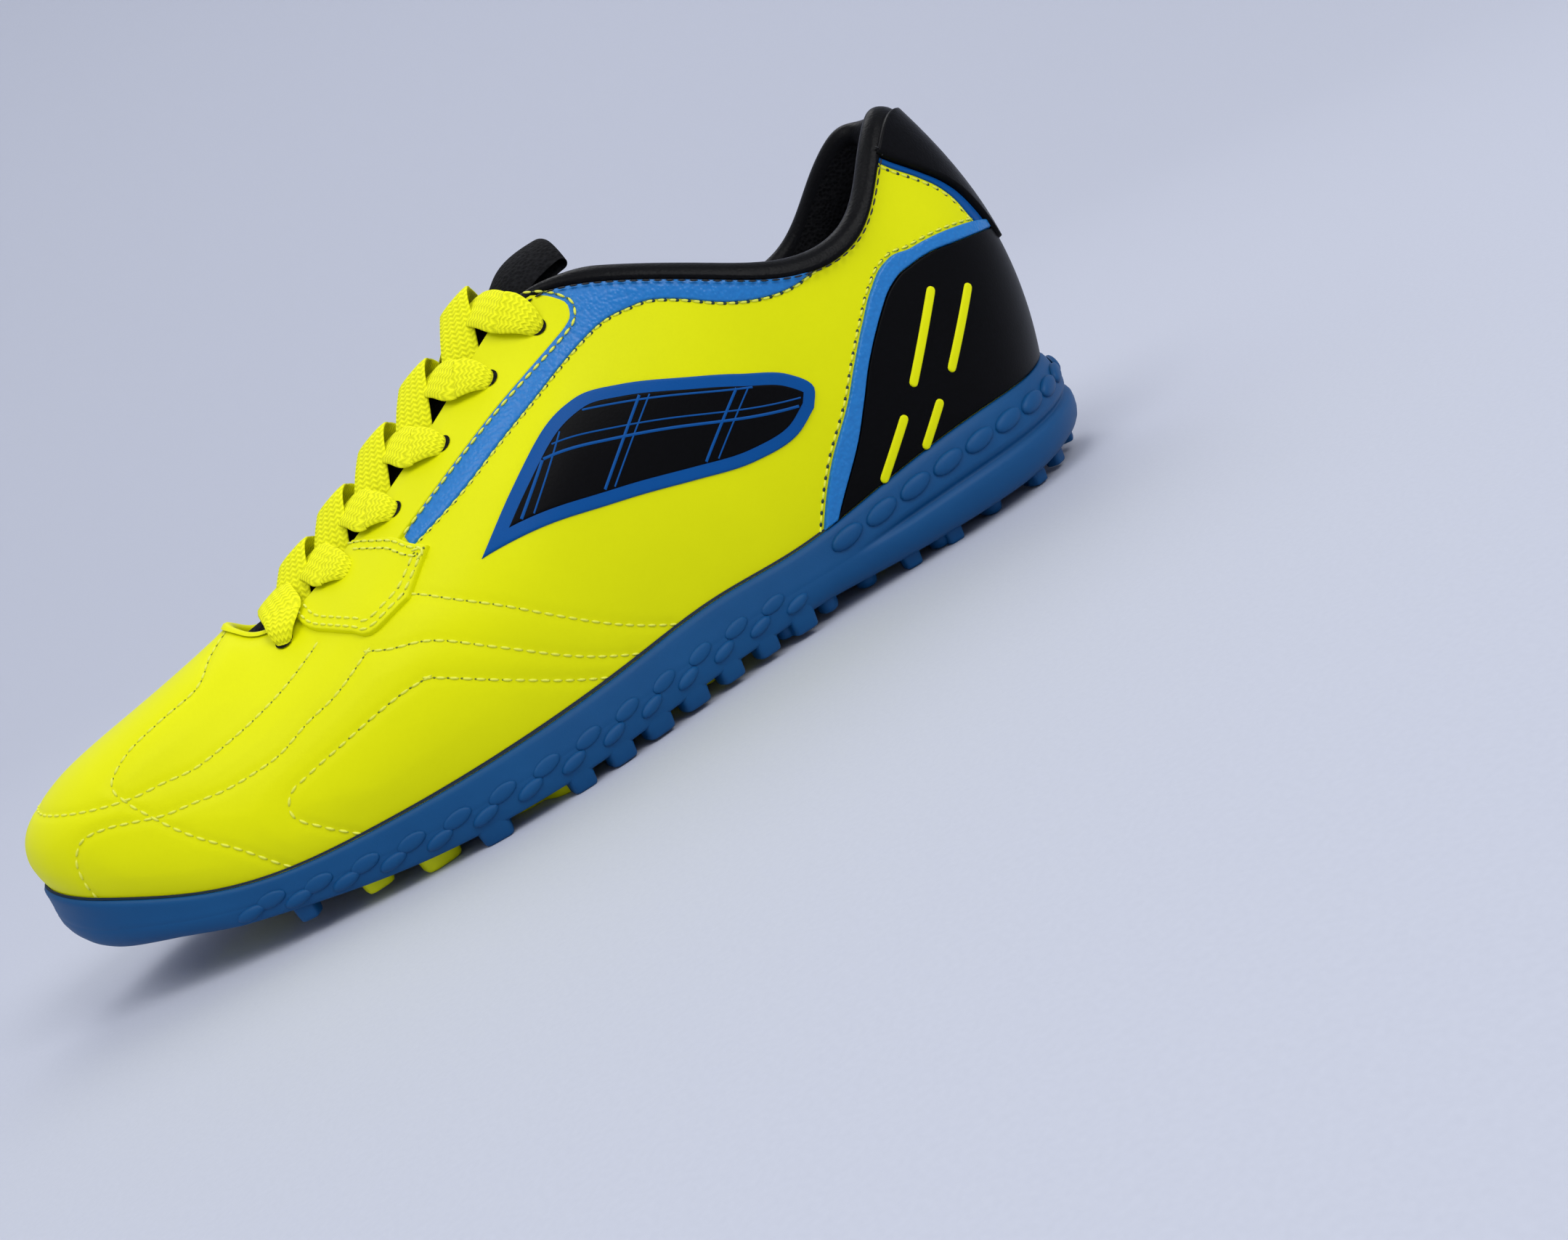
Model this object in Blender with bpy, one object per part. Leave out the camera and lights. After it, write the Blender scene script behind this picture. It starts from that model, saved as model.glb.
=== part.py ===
"""A left turf and futsal shoe of EU size 42, standing empty on its sole.

The toe points to -X and the heel to +X, the outer (lateral) side faces -Y and the inner (medial)
side +Y, and Z is up from the floor. Every curved piece is worked out from one table of sections
round the foot, so the sole, upper, tongue, insole and overlays keep their gaps to each other.
"""

import math

import bmesh
import bpy
import numpy as np

# Driving sizes, in metres.
LENGTH = 0.288
BALL_WIDTH = 0.103
HEEL_WIDTH = 0.072
INSTEP_HEIGHT = 0.104
HEEL_HEIGHT = 0.106
SOLE_THICKNESS = 0.0264
STUD_HEIGHT = 0.0036
HEEL_BED = 0.0095
FOREFOOT_BED = 0.0062
LIP_WIDTH = 0.0015
WALL = 0.0022
COLLAR_PAD = 0.0065
OVERLAY = 0.0009
COUNTER = 0.0013
INSOLE_THICKNESS = 0.0030
TONGUE_THICKNESS = 0.0035
TONGUE_CROWN = 0.58
TONGUE_TOP_LENGTH = 0.018
TONGUE_TOP_RISE = 0.0070
TONGUE_CLEAR = 0.0009
LACE_WIDTH = 0.0085
LACE_THICKNESS = 0.0013
EYELET_DIAMETER = 0.0046
INSERT_ROOF = 0.0030
POD_DEPTH = 0.0020
POD_BEVEL = 0.0006
HEEL_GROOVE = 0.0014
BUMP_RISE = 0.0009
LUG_ROOT = 0.0012
FLAT_RISE = 0.0006
GAP = 0.0003
SEAT = 0.0007

# Sizes on the sole that follow its length
POD_HUB = 0.0146 * LENGTH
LOBE_RADIUS = 0.0122 * LENGTH
LOBE_SHARPNESS = 5.0
STUD_PITCH = 0.045 * LENGTH
STUD_RADIUS = 0.0146 * LENGTH
STUD_START = (-0.021, 0.117)
ROW_SPACING = 0.62
STUD_SLANT = 0.10
EDGE_LUG = 0.0104 * LENGTH
EDGE_LUG_INSET = 0.018 * LENGTH
HEEL_BUMP = 0.0153 * LENGTH
POD_CLEARANCE = 0.054 * LENGTH

# Where the sole's lugs and the eyelets lie round the foot, and how the laces run
EDGE_LUG_STEP = 0.42
HEEL_BUMPS = (2.40, 3.05, 3.65, 4.20, 4.70, 5.20)
SIDE_BUMPS = (8.10, 8.70, 9.20, 9.70, 10.30, 10.90, 11.50)
EYELET_ROWS = (12.60, 11.48, 10.80, 10.12, 9.46, 8.70)
EYELET_LEVEL = 0.89
LACE_LEVELS = (0.91, 0.95, 1.0)
LACE_REACH = 0.66
LACE_CLEAR = 0.0008
EYESTAY_CLEAR = 0.0009
CREST_LIFT = 0.0012
NEAR_ARCH = 0.0016
FAR_STOP = 0.0042
RIM_ROUND = 0.30

# Fineness of the faceted surfaces.
COLUMNS = 60
UPPER_ROWS = 8
BED_STRIPS = 3
POD_SIDES = 20
EYELET_SIDES = 8

# One row for each section round the foot, from the heel's middle to the toe's middle.
# x is a share of the length; lateral and medial are shares of half the local width; spring and lip
# are the sole's underside and top edge as shares of its thickness, and lean is how far its side
# draws in up to the lip, as a share of the rise; the four rim columns place the edge of the opening;
# low and high are the lengths of the rib's ends as shares of its chord, flare its lean at the sole
# and slope its fall at the opening, in degrees.
SECTION_COLUMNS = ("x", "lateral", "medial", "spring", "lip", "lean", "rim_x", "rim_z", "rim_lateral",
                   "rim_medial", "low", "flare", "high", "slope")
SECTIONS = (
    (0.500, 0.00, 0.00, 0.150, 0.91, 0.14, 0.450, 0.940, 0.00, 0.00, 0.41, 13, 0.31, 67),
    (0.484, 0.36, 0.36, 0.110, 0.88, 0.14, 0.445, 0.945, 0.25, 0.26, 0.41, 13, 0.31, 67),
    (0.444, 0.68, 0.70, 0.060, 0.85, 0.13, 0.424, 0.945, 0.43, 0.45, 0.39, 10, 0.34, 74),
    (0.389, 0.89, 0.90, 0.010, 0.85, 0.12, 0.388, 0.865, 0.60, 0.64, 0.37, 8, 0.34, 82),
    (0.319, 0.99, 0.97, 0.000, 0.82, 0.11, 0.340, 0.750, 0.75, 0.79, 0.35, 6, 0.34, 86),
    (0.243, 1.01, 0.90, 0.008, 0.71, 0.11, 0.273, 0.735, 0.83, 0.84, 0.34, 5, 0.33, 84),
    (0.160, 0.99, 0.78, 0.050, 0.60, 0.11, 0.205, 0.820, 0.76, 0.75, 0.34, 4, 0.33, 78),
    (0.076, 0.96, 0.72, 0.060, 0.62, 0.10, 0.143, 0.912, 0.63, 0.61, 0.34, 4, 0.32, 72),
    (-0.007, 0.96, 0.79, 0.030, 0.56, 0.10, 0.094, 0.972, 0.48, 0.46, 0.34, 5, 0.31, 64),
    (-0.090, 1.00, 0.91, 0.000, 0.51, 0.10, 0.047, 0.963, 0.34, 0.34, 0.35, 7, 0.31, 52),
    (-0.174, 0.99, 1.00, 0.000, 0.47, 0.10, -0.031, 0.840, 0.28, 0.28, 0.36, 8, 0.31, 42),
    (-0.250, 0.90, 0.97, 0.045, 0.45, 0.10, -0.115, 0.716, 0.26, 0.26, 0.36, 9, 0.32, 38),
    (-0.319, 0.78, 0.89, 0.140, 0.47, 0.09, -0.188, 0.622, 0.23, 0.23, 0.35, 9, 0.34, 35),
    (-0.382, 0.64, 0.78, 0.250, 0.60, 0.07, -0.241, 0.588, 0.20, 0.20, 0.34, 10, 0.38, 31),
    (-0.438, 0.47, 0.60, 0.370, 0.83, 0.04, -0.262, 0.613, 0.135, 0.135, 0.33, 10, 0.43, 25),
    (-0.480, 0.25, 0.38, 0.500, 1.02, 0.01, -0.268, 0.632, 0.065, 0.065, 0.34, 12, 0.48, 21),
    (-0.500, -0.08, 0.08, 0.680, 1.13, 0.00, -0.269, 0.636, 0.00, 0.00, 0.34, 11, 0.50, 20),
)

# The sole's side wall from its underside to its lip: height as a share, how far it is drawn in, and
# how much of the heel groove it takes.
SIDE_COLUMNS = ("height", "inset", "groove")
SIDE_PROFILE = (
    (0.00, 0.0030, 0.0),
    (0.10, 0.0009, 0.0),
    (0.28, 0.0000, 0.0),
    (0.40, 0.0000, 0.1),
    (0.46, 0.0001, 1.0),
    (0.53, 0.0002, 0.1),
    (0.78, 0.0004, 0.0),
)


def column_index(name):
    return SECTION_COLUMNS.index(name)


def local_share(x):
    """How far a place belongs to the heel (1) or to the forefoot (0)."""
    t = np.clip((x / LENGTH + 0.10) / 0.32, 0.0, 1.0)
    return t * t * (3 - 2 * t)


def closed_table():
    """The sections round the whole foot: heel, lateral side, toe and back along the medial side."""
    rows = np.array(SECTIONS, float)
    around = np.vstack([rows, rows[-2:0:-1]])
    side = np.r_[np.full(len(rows), -1.0), np.full(len(rows) - 2, 1.0)]
    x = around[:, column_index("x")] * LENGTH
    heel = local_share(x)
    half_width = (BALL_WIDTH * (1 - heel) + HEEL_WIDTH * heel) / 2
    height = INSTEP_HEIGHT * (1 - heel) + HEEL_HEIGHT * heel
    share = np.where(side < 0, around[:, column_index("lateral")], around[:, column_index("medial")])
    rim_share = np.where(side < 0, around[:, column_index("rim_lateral")],
                         around[:, column_index("rim_medial")])
    rim_x = around[:, column_index("rim_x")] * LENGTH
    rim_heel = local_share(rim_x)
    rim_half = (BALL_WIDTH * (1 - rim_heel) + HEEL_WIDTH * rim_heel) / 2
    table = np.column_stack([
        x,
        side * share * half_width,
        STUD_HEIGHT + around[:, column_index("spring")] * SOLE_THICKNESS,
        STUD_HEIGHT + around[:, column_index("lip")] * SOLE_THICKNESS,
        rim_x,
        side * rim_share * rim_half,
        around[:, column_index("rim_z")] * height,
        around[:, column_index("low")],
        np.radians(around[:, column_index("flare")]),
        around[:, column_index("high")],
        np.radians(around[:, column_index("slope")]),
        around[:, column_index("lean")],
    ])
    return table


def spline_tangents(values):
    """Tangents of the smooth closed curve through the rows."""
    count = len(values)
    system = 4 * np.eye(count) + np.roll(np.eye(count), 1, 0) + np.roll(np.eye(count), -1, 0)
    return np.linalg.solve(system, 3 * (np.roll(values, -1, 0) - np.roll(values, 1, 0)))


TABLE = closed_table()
TANGENTS = spline_tangents(TABLE)
AROUND = len(TABLE)
TOE = AROUND // 2


def section(u):
    """All columns at the places u round the foot, where whole numbers are the table's rows."""
    u = np.mod(np.atleast_1d(np.asarray(u, float)), AROUND)
    low = np.floor(u).astype(int) % AROUND
    high = (low + 1) % AROUND
    t = (u - np.floor(u))[:, None]
    return ((2 * t ** 3 - 3 * t ** 2 + 1) * TABLE[low] + (t ** 3 - 2 * t ** 2 + t) * TANGENTS[low]
            + (3 * t ** 2 - 2 * t ** 3) * TABLE[high] + (t ** 3 - t ** 2) * TANGENTS[high])


def outward(u):
    """The flat outward direction of the sole's outline."""
    step = 0.01
    along = section(u + step)[:, :2] - section(u - step)[:, :2]
    normal = np.column_stack([-along[:, 1], along[:, 0]])
    return normal / np.linalg.norm(normal, axis=1)[:, None]


def outline(u, inset):
    """The sole's outline in plan, drawn in by inset."""
    return section(u)[:, :2] - outward(u) * np.asarray(inset, float).reshape(-1, 1)


def underside(u):
    return np.maximum(section(u)[:, 2], STUD_HEIGHT)


def lip_height(u):
    return section(u)[:, 3]


def bed_height(u):
    """The height of the sole's inside, on which the insole lies."""
    part = section(u)
    heel = local_share(part[:, 0])
    return underside(u) + HEEL_BED * heel + FOREFOOT_BED * (1 - heel)


def lip_inset(u):
    return section(u)[:, 11] * (lip_height(u) - underside(u))


def feather_inset(u):
    return lip_inset(u) + LIP_WIDTH + GAP


def rib(u, v):
    """A point of the upper's outer face: v runs from the sole (0) to the opening (1)."""
    part = section(u)
    out = np.column_stack([outward(u), np.zeros(len(part))])
    up = np.array([0.0, 0.0, 1.0])
    foot = np.column_stack([outline(u, feather_inset(u)), lip_height(u)])
    rim = part[:, 4:7]
    chord = np.linalg.norm(rim - foot, axis=1)[:, None]
    flare = part[:, 8][:, None]
    slope = part[:, 10][:, None]
    first = foot + part[:, 7][:, None] * chord * (np.sin(flare) * out + np.cos(flare) * up)
    second = rim + part[:, 9][:, None] * chord * (np.cos(slope) * out - np.sin(slope) * up)
    v = np.asarray(v, float).reshape(-1, 1)
    w = 1 - v
    return w ** 3 * foot + 3 * w * w * v * first + 3 * w * v * v * second + v ** 3 * rim


def skin(u, v, offset=0.0):
    """A point of the upper, moved by offset along the outward normal of its outer face."""
    u = np.atleast_1d(np.asarray(u, float))
    v = np.atleast_1d(np.asarray(v, float)) * np.ones_like(u)
    step = 0.02
    along = rib(u + step, v) - rib(u - step, v)
    across = rib(u, v + step) - rib(u, v - step)
    normal = np.cross(across, along)
    normal /= np.linalg.norm(normal, axis=1)[:, None]
    return rib(u, v) + normal * np.broadcast_to(offset, u.shape).reshape(-1, 1)


def collar_share(u):
    """How far a place belongs to the padded collar (1) or to the throat and vamp (0)."""
    from_heel = np.minimum(np.mod(u, AROUND), AROUND - np.mod(u, AROUND))
    t = np.clip((8.8 - from_heel) / 1.6, 0.0, 1.0)
    return t * t * (3 - 2 * t)


def wall(u, v):
    """The upper's thickness, thicker at the padded collar."""
    t = np.clip((v - 0.55) / 0.35, 0.0, 1.0)
    pad = t * t * (3 - 2 * t) * collar_share(u)
    return WALL + (COLLAR_PAD - WALL) * pad


def paint(obj, colour, roughness):
    material = bpy.data.materials.new(obj.name + "_finish")
    material.use_nodes = True
    shader = material.node_tree.nodes["Principled BSDF"]
    shader.inputs["Base Color"].default_value = (*colour, 1.0)
    shader.inputs["Roughness"].default_value = roughness
    shader.inputs["Metallic"].default_value = 0.0
    obj.data.materials.append(material)


def solid(name, points, faces, colour=(0.5, 0.5, 0.5), roughness=0.6):
    """A closed mesh object with its faces pointing out."""
    mesh = bpy.data.meshes.new(name)
    mesh.from_pydata([tuple(map(float, point)) for point in points], [], faces)
    form = bmesh.new()
    form.from_mesh(mesh)
    bmesh.ops.recalc_face_normals(form, faces=form.faces)
    form.to_mesh(mesh)
    form.free()
    mesh.shade_smooth()
    mesh.set_sharp_from_angle(angle=math.radians(35))
    obj = bpy.data.objects.new(name, mesh)
    bpy.context.scene.collection.objects.link(obj)
    paint(obj, colour, roughness)
    return obj


def helper(obj):
    """Marks an object as a cutter or an added form that isn't a piece by itself."""
    obj.hide_render = True
    obj.display_type = "WIRE"
    return obj


def combine(target, other, operation):
    """Cuts the other form out of the target, or joins it on."""
    modifier = target.modifiers.new(operation.lower(), "BOOLEAN")
    modifier.object = helper(other)
    modifier.operation = operation


def ring_faces(ring_count, columns):
    """Quads between neighbouring closed rings of points."""
    faces = []
    for ring in range(ring_count - 1):
        for i in range(columns):
            j = (i + 1) % columns
            base = ring * columns
            faces.append((base + i, base + j, base + columns + j, base + columns + i))
    return faces


def ladder(points, faces, first, columns, crown):
    """Closes a ring with strips between its lateral and medial halves, raised by crown in the middle."""
    half = columns // 2
    rows = []
    for i in range(1, half):
        lateral = np.array(points[first + i])
        medial = np.array(points[first + columns - i])
        row = [first + i]
        for strip in range(1, BED_STRIPS):
            t = strip / BED_STRIPS
            rise = crown * 4 * t * (1 - t)
            points.append(lateral * (1 - t) + medial * t + np.array([0, 0, rise]))
            row.append(len(points) - 1)
        row.append(first + columns - i)
        rows.append(row)
    for before, after in zip(rows[:-1], rows[1:]):
        for k in range(BED_STRIPS):
            faces.append((before[k], before[k + 1], after[k + 1], after[k]))
    for tip, row in ((first, rows[0]), (first + half, rows[-1])):
        for k in range(BED_STRIPS):
            faces.append((tip, row[k], row[k + 1]))


def lofted(name, rings, crown_first=0.0, crown_last=0.0, **finish):
    """A solid lofted through closed rings, with its two ends closed by strips."""
    columns = len(rings[0])
    points = [point for ring in rings for point in ring]
    faces = ring_faces(len(rings), columns)
    ladder(points, faces, 0, columns, crown_first)
    ladder(points, faces, (len(rings) - 1) * columns, columns, crown_last)
    return solid(name, points, faces, **finish)


def prism(name, plan, low, high):
    """An upright prism over a plan outline."""
    count = len(plan)
    points = [(x, y, low) for x, y in plan] + [(x, y, high) for x, y in plan]
    faces = ring_faces(2, count)
    faces += [tuple(range(count)), tuple(range(count, 2 * count))]
    return solid(name, points, faces)


def joined(name, parts):
    """One helper mesh made of several closed bodies, each given as points and faces."""
    points = []
    faces = []
    for body_points, body_faces in parts:
        base = len(points)
        points += list(body_points)
        faces += [tuple(base + k for k in face) for face in body_faces]
    return helper(solid(name, points, faces))


def knob(centre, axis, along, radii, height, sink, taper, sides):
    """A tapered oval lug: it starts sink below its centre, and rises by height along its axis."""
    axis = np.array(axis, float) / np.linalg.norm(axis)
    along = np.array(along, float) - axis * np.dot(along, axis)
    along /= np.linalg.norm(along)
    across = np.cross(axis, along)
    points = []
    for level, scale in ((-sink, 1.0), (height, taper)):
        for k in range(sides):
            angle = 2 * math.pi * k / sides
            flat = along * math.cos(angle) * radii[0] + across * math.sin(angle) * radii[1]
            points.append(np.array(centre) + flat * scale + axis * level)
    faces = ring_faces(2, sides)
    faces += [tuple(range(sides)), tuple(range(sides, 2 * sides))]
    return points, faces


def at(x_share, y_share):
    """A place on the sole's plan, in shares of the length and of half the ball width."""
    return np.array([x_share * LENGTH, y_share * BALL_WIDTH / 2])


def underside_at(x):
    """The underside's height along the shoe."""
    u = np.linspace(0, TOE, 200)
    return float(np.interp(-x, -section(u)[:, 0], underside(u)))


# Outline of the sole
def sole_rings(columns, grow=0.0):
    u = np.arange(columns) * AROUND / columns
    base = underside(u)
    rise = lip_height(u) - base
    heel = np.clip((section(u)[:, 0] / LENGTH - 0.20) / 0.06, 0.0, 1.0)
    rings = []
    for height, inset, groove in SIDE_PROFILE:
        draw = inset + groove * HEEL_GROOVE * heel + lip_inset(u) * height ** 3 - grow
        rings.append(np.column_stack([outline(u, draw), base + rise * height]))
    rings.append(np.column_stack([outline(u, lip_inset(u) - grow), base + rise]))
    return rings


def cup_rings(columns):
    """The inside of the sole's lip, down to the bed."""
    u = np.arange(columns) * AROUND / columns
    inner = outline(u, lip_inset(u) + LIP_WIDTH)
    return [np.column_stack([inner, lip_height(u) - 0.0002]), np.column_stack([inner, bed_height(u)])]


# The turf insert's outline on the underside: shares of the length and of half the ball width
INSERT_OUTLINE = (
    (0.232, 0.66), (0.205, 0.42), (0.166, -0.02), (0.118, -0.45), (0.086, -0.64), (0.045, -0.72),
    (0.000, -0.70), (-0.050, -0.60), (-0.100, -0.45), (-0.145, -0.27), (-0.185, -0.05),
    (-0.222, 0.20), (-0.246, 0.48), (-0.252, 0.78), (-0.246, 1.12), (-0.170, 1.16), (-0.060, 1.14),
    (0.040, 1.05), (0.140, 0.95), (0.215, 0.86),
)

# Pods on the underside: centre, and each lobe's direction in degrees and reach as a share of the length
PODS = (
    ("pod_ball_outer", (-0.118, -0.72), ((20, 0.026), (170, 0.0295), (-55, 0.026))),
    ("pod_ball_inner", (-0.240, -0.36), ((95, 0.033), (-35, 0.031), (215, 0.033))),
    ("pod_toe_outer", (-0.358, -0.20), ((-60, 0.031), (70, 0.019), (165, 0.033))),
    ("pod_toe_inner", (-0.330, 0.17), ((20, 0.035), (110, 0.0175), (205, 0.033))),
    ("pod_heel_front", (0.246, -0.13), ((-120, 0.026), (-10, 0.0225), (105, 0.026))),
    ("pod_heel_outer", (0.338, 0.50), ((-70, 0.0245), (50, 0.0225), (180, 0.0225))),
    ("pod_heel_inner", (0.262, 0.47), ((-135, 0.026), (0, 0.0225), (120, 0.0245))),
)


def pod_plan(centre, lobes, grow):
    """The three-lobed outline of a pod."""
    plan = []
    for k in range(POD_SIDES):
        angle = 2 * math.pi * k / POD_SIDES
        reach = POD_HUB
        for heading, length in lobes:
            near = math.exp(LOBE_SHARPNESS * (math.cos(angle - math.radians(heading)) - 1))
            reach += (length * LENGTH + LOBE_RADIUS - POD_HUB) * near
        reach += grow
        plan.append((centre[0] + reach * math.cos(angle), centre[1] + reach * math.sin(angle)))
    return plan


def pod_tip(x):
    """The height of a pod's tip: on the floor under the flat of the heel and ball."""
    tip = underside_at(x) - STUD_HEIGHT
    return tip if tip > FLAT_RISE else 0.0


def make_pods():
    pods = []
    cutters = []
    for name, place, lobes in PODS:
        centre = at(*place)
        tip = pod_tip(centre[0])
        root = tip + STUD_HEIGHT + POD_DEPTH
        full = pod_plan(centre, lobes, 0.0)
        small = pod_plan(centre, lobes, -POD_BEVEL)
        points = [(x, y, root) for x, y in full]
        points += [(x, y, tip + 2 * POD_BEVEL) for x, y in full]
        points += [(x, y, tip) for x, y in small]
        faces = ring_faces(3, POD_SIDES)
        faces += [tuple(range(POD_SIDES)), tuple(range(2 * POD_SIDES, 3 * POD_SIDES))]
        pods.append(solid(name, points, faces, (0.70, 0.85, 0.01), 0.45))
        wide = pod_plan(centre, lobes, 1.5 * GAP)
        cutter = [(x, y, root + GAP) for x, y in wide] + [(x, y, tip - STUD_HEIGHT) for x, y in wide]
        cutter_faces = ring_faces(2, POD_SIDES)
        cutter_faces += [tuple(range(POD_SIDES)), tuple(range(POD_SIDES, 2 * POD_SIDES))]
        cutters.append((cutter, cutter_faces))
    return pods, joined("pod_pockets", cutters)


def inside(point, plan, margin):
    """Whether a point lies in a closed outline, and margin or more from its edge."""
    x, y = point
    hit = False
    near = 1.0
    count = len(plan)
    for k in range(count):
        ax, ay = plan[k]
        bx, by = plan[(k + 1) % count]
        if (ay > y) != (by > y) and x < (bx - ax) * (y - ay) / (by - ay) + ax:
            hit = not hit
        t = ((x - ax) * (bx - ax) + (y - ay) * (by - ay)) / ((bx - ax) ** 2 + (by - ay) ** 2)
        t = min(1.0, max(0.0, t))
        near = min(near, math.hypot(ax + t * (bx - ax) - x, ay + t * (by - ay) - y))
    return hit and near >= margin


def rounded(plan, per_side):
    """A smooth closed curve through a plan outline's points."""
    plan = np.array(plan, float)
    tangents = spline_tangents(plan)
    points = []
    for k in range(len(plan)):
        following = (k + 1) % len(plan)
        for step in range(per_side):
            t = step / per_side
            points.append((2 * t ** 3 - 3 * t ** 2 + 1) * plan[k]
                          + (t ** 3 - 2 * t ** 2 + t) * tangents[k]
                          + (3 * t ** 2 - 2 * t ** 3) * plan[following]
                          + (t ** 3 - t ** 2) * tangents[following])
    return np.array(points)


def grown(plan, grow):
    """A closed outline moved outwards."""
    plan = np.array(plan)
    along = np.roll(plan, -1, 0) - np.roll(plan, 1, 0)
    normal = np.column_stack([along[:, 1], -along[:, 0]])
    normal /= np.linalg.norm(normal, axis=1)[:, None]
    area = np.sum(plan[:, 0] * np.roll(plan[:, 1], -1) - np.roll(plan[:, 0], -1) * plan[:, 1])
    return plan + normal * grow * (1 if area > 0 else -1)


def insert_studs(plan):
    """Oval studs in slanted rows all over the turf insert."""
    edge = [tuple(point) for point in plan]
    studs = []
    for row in range(-8, 9):
        for place in range(-9, 10):
            x = STUD_START[0] * LENGTH + (place + 0.5 * (row % 2)) * STUD_PITCH
            y = STUD_START[1] * BALL_WIDTH + row * STUD_PITCH * ROW_SPACING - STUD_SLANT * x
            u = np.linspace(TOE, AROUND, 60)
            wide = float(np.interp(x, outline(u, 0.0)[:, 0], outline(u, 0.0)[:, 1]))
            if not inside((x, y), edge, STUD_RADIUS) or y > wide - 1.5 * STUD_RADIUS:
                continue
            front = 0.85 - 0.60 * x / LENGTH
            tip = max(underside_at(x) - STUD_HEIGHT, 0.0)
            height = underside_at(x) - tip
            studs.append(knob((x, y, underside_at(x)), (0, 0, -1), (0.9, 0.45, 0),
                              (STUD_RADIUS * front, 0.64 * STUD_RADIUS * front), height, LUG_ROOT,
                              0.72, 6))
    return studs


# Outsole
def make_sole():
    rings = sole_rings(COLUMNS) + cup_rings(COLUMNS)
    sole = lofted("outsole", rings, 0.0, 0.0, colour=(0.03, 0.15, 0.48), roughness=0.55)

    plan = rounded([at(*point) for point in INSERT_OUTLINE], 3)
    insert_top = STUD_HEIGHT + INSERT_ROOF
    pocket = prism("insert_pocket", grown(plan, GAP), -STUD_HEIGHT, insert_top + GAP)
    combine(sole, pocket, "DIFFERENCE")

    insert = prism("turf_insert", plan, -STUD_HEIGHT / 2, insert_top)
    insert.data.materials.clear()
    paint(insert, (0.70, 0.85, 0.01), 0.45)
    bounds = helper(lofted("insert_bounds", sole_rings(COLUMNS), 0.0, 0.0))
    combine(insert, bounds, "INTERSECT")
    combine(insert, joined("insert_studs", insert_studs(plan)), "UNION")

    pods, pockets = make_pods()
    combine(sole, pockets, "DIFFERENCE")
    combine(sole, joined("sole_lugs", sole_lugs()), "UNION")
    return sole, insert, pods


# Blue studs of the underside: place, two radii in thousandths of the length, and heading in degrees
SOLE_STUDS = (
    (-0.160, -0.42, 14, 12, 20), (-0.190, -0.62, 12.5, 11, 30), (-0.290, -0.62, 12, 10.5, 20),
    (-0.262, 0.04, 10, 9, 0), (-0.405, 0.16, 9, 8.5, 0), (-0.405, -0.30, 10, 9, 0),
    (-0.285, 0.42, 9, 7.5, 40), (-0.315, 0.50, 9, 7.5, 40), (-0.345, 0.56, 10, 8.5, 40),
    (-0.292, 0.68, 9, 7.5, 40), (-0.325, 0.74, 9, 7.5, 40), (-0.392, 0.46, 10, 8.5, 40),
    (-0.372, 0.70, 9, 8.5, 40), (-0.300, 0.88, 9, 7.5, 40), (-0.340, 0.38, 9, 7.5, 40),
    (0.120, -0.62, 14, 10.5, 75), (0.165, -0.58, 14, 10.5, 80), (0.210, -0.50, 14, 10.5, 90),
    (0.400, -0.40, 12.5, 10.5, 120), (0.425, -0.12, 12.5, 10.5, 90), (0.420, 0.16, 12.5, 10.5, 90),
    (0.285, -0.52, 14, 10.5, 90), (0.345, -0.48, 14, 10.5, 100), (0.340, -0.02, 12, 10.5, 90),
    (0.400, 0.36, 12.5, 10.5, 60),
)


def sole_lugs():
    """Studs under the sole, and the rows of oval bumps on its side wall."""
    lugs = []
    for x_share, y_share, long_radius, short_radius, heading in SOLE_STUDS:
        x, y = at(x_share, y_share)
        base = underside_at(x)
        tip = pod_tip(x)
        angle = math.radians(heading)
        lugs.append(knob((x, y, base), (0, 0, -1), (math.cos(angle), math.sin(angle), 0),
                         (long_radius * LENGTH / 1000, short_radius * LENGTH / 1000), base - tip,
                         LUG_ROOT, 0.75, 6))
    for u in np.arange(7.7, 11.1, EDGE_LUG_STEP):
        x, y = outline(u, EDGE_LUG_INSET)[0]
        if any(np.hypot(*(at(*place) - (x, y))) < POD_CLEARANCE for _, place, _ in PODS):
            continue
        base = underside_at(x)
        lugs.append(knob((x, y, base), (0, 0, -1), (1, 0, 0), (EDGE_LUG, 0.86 * EDGE_LUG),
                         base - pod_tip(x), LUG_ROOT, 0.75, 4))
    for rows, height, radii in ((HEEL_BUMPS, 0.68, (HEEL_BUMP, HEEL_BUMP / 2)),
                                (SIDE_BUMPS, 0.46, (EDGE_LUG, EDGE_LUG / 2))):
        for row in rows:
            for u in (row, AROUND - row):
                lugs.append(side_bump(u, height, radii))
    return lugs


def side_point(u, height):
    """A point of the sole's side wall."""
    base = underside(u)
    rise = lip_height(u) - base
    plan = outline(u, lip_inset(u) * height ** 3)
    return np.column_stack([plan, base + rise * height])[0]


def side_bump(u, height, radii):
    """An oval bump on the sole's side wall, lying along it."""
    along = side_point(u + 0.1, height) - side_point(u - 0.1, height)
    axis = np.append(outward(u)[0], 0.0)
    return knob(side_point(u, height), axis, along, radii, BUMP_RISE, LUG_ROOT, 0.60, 6)


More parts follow.
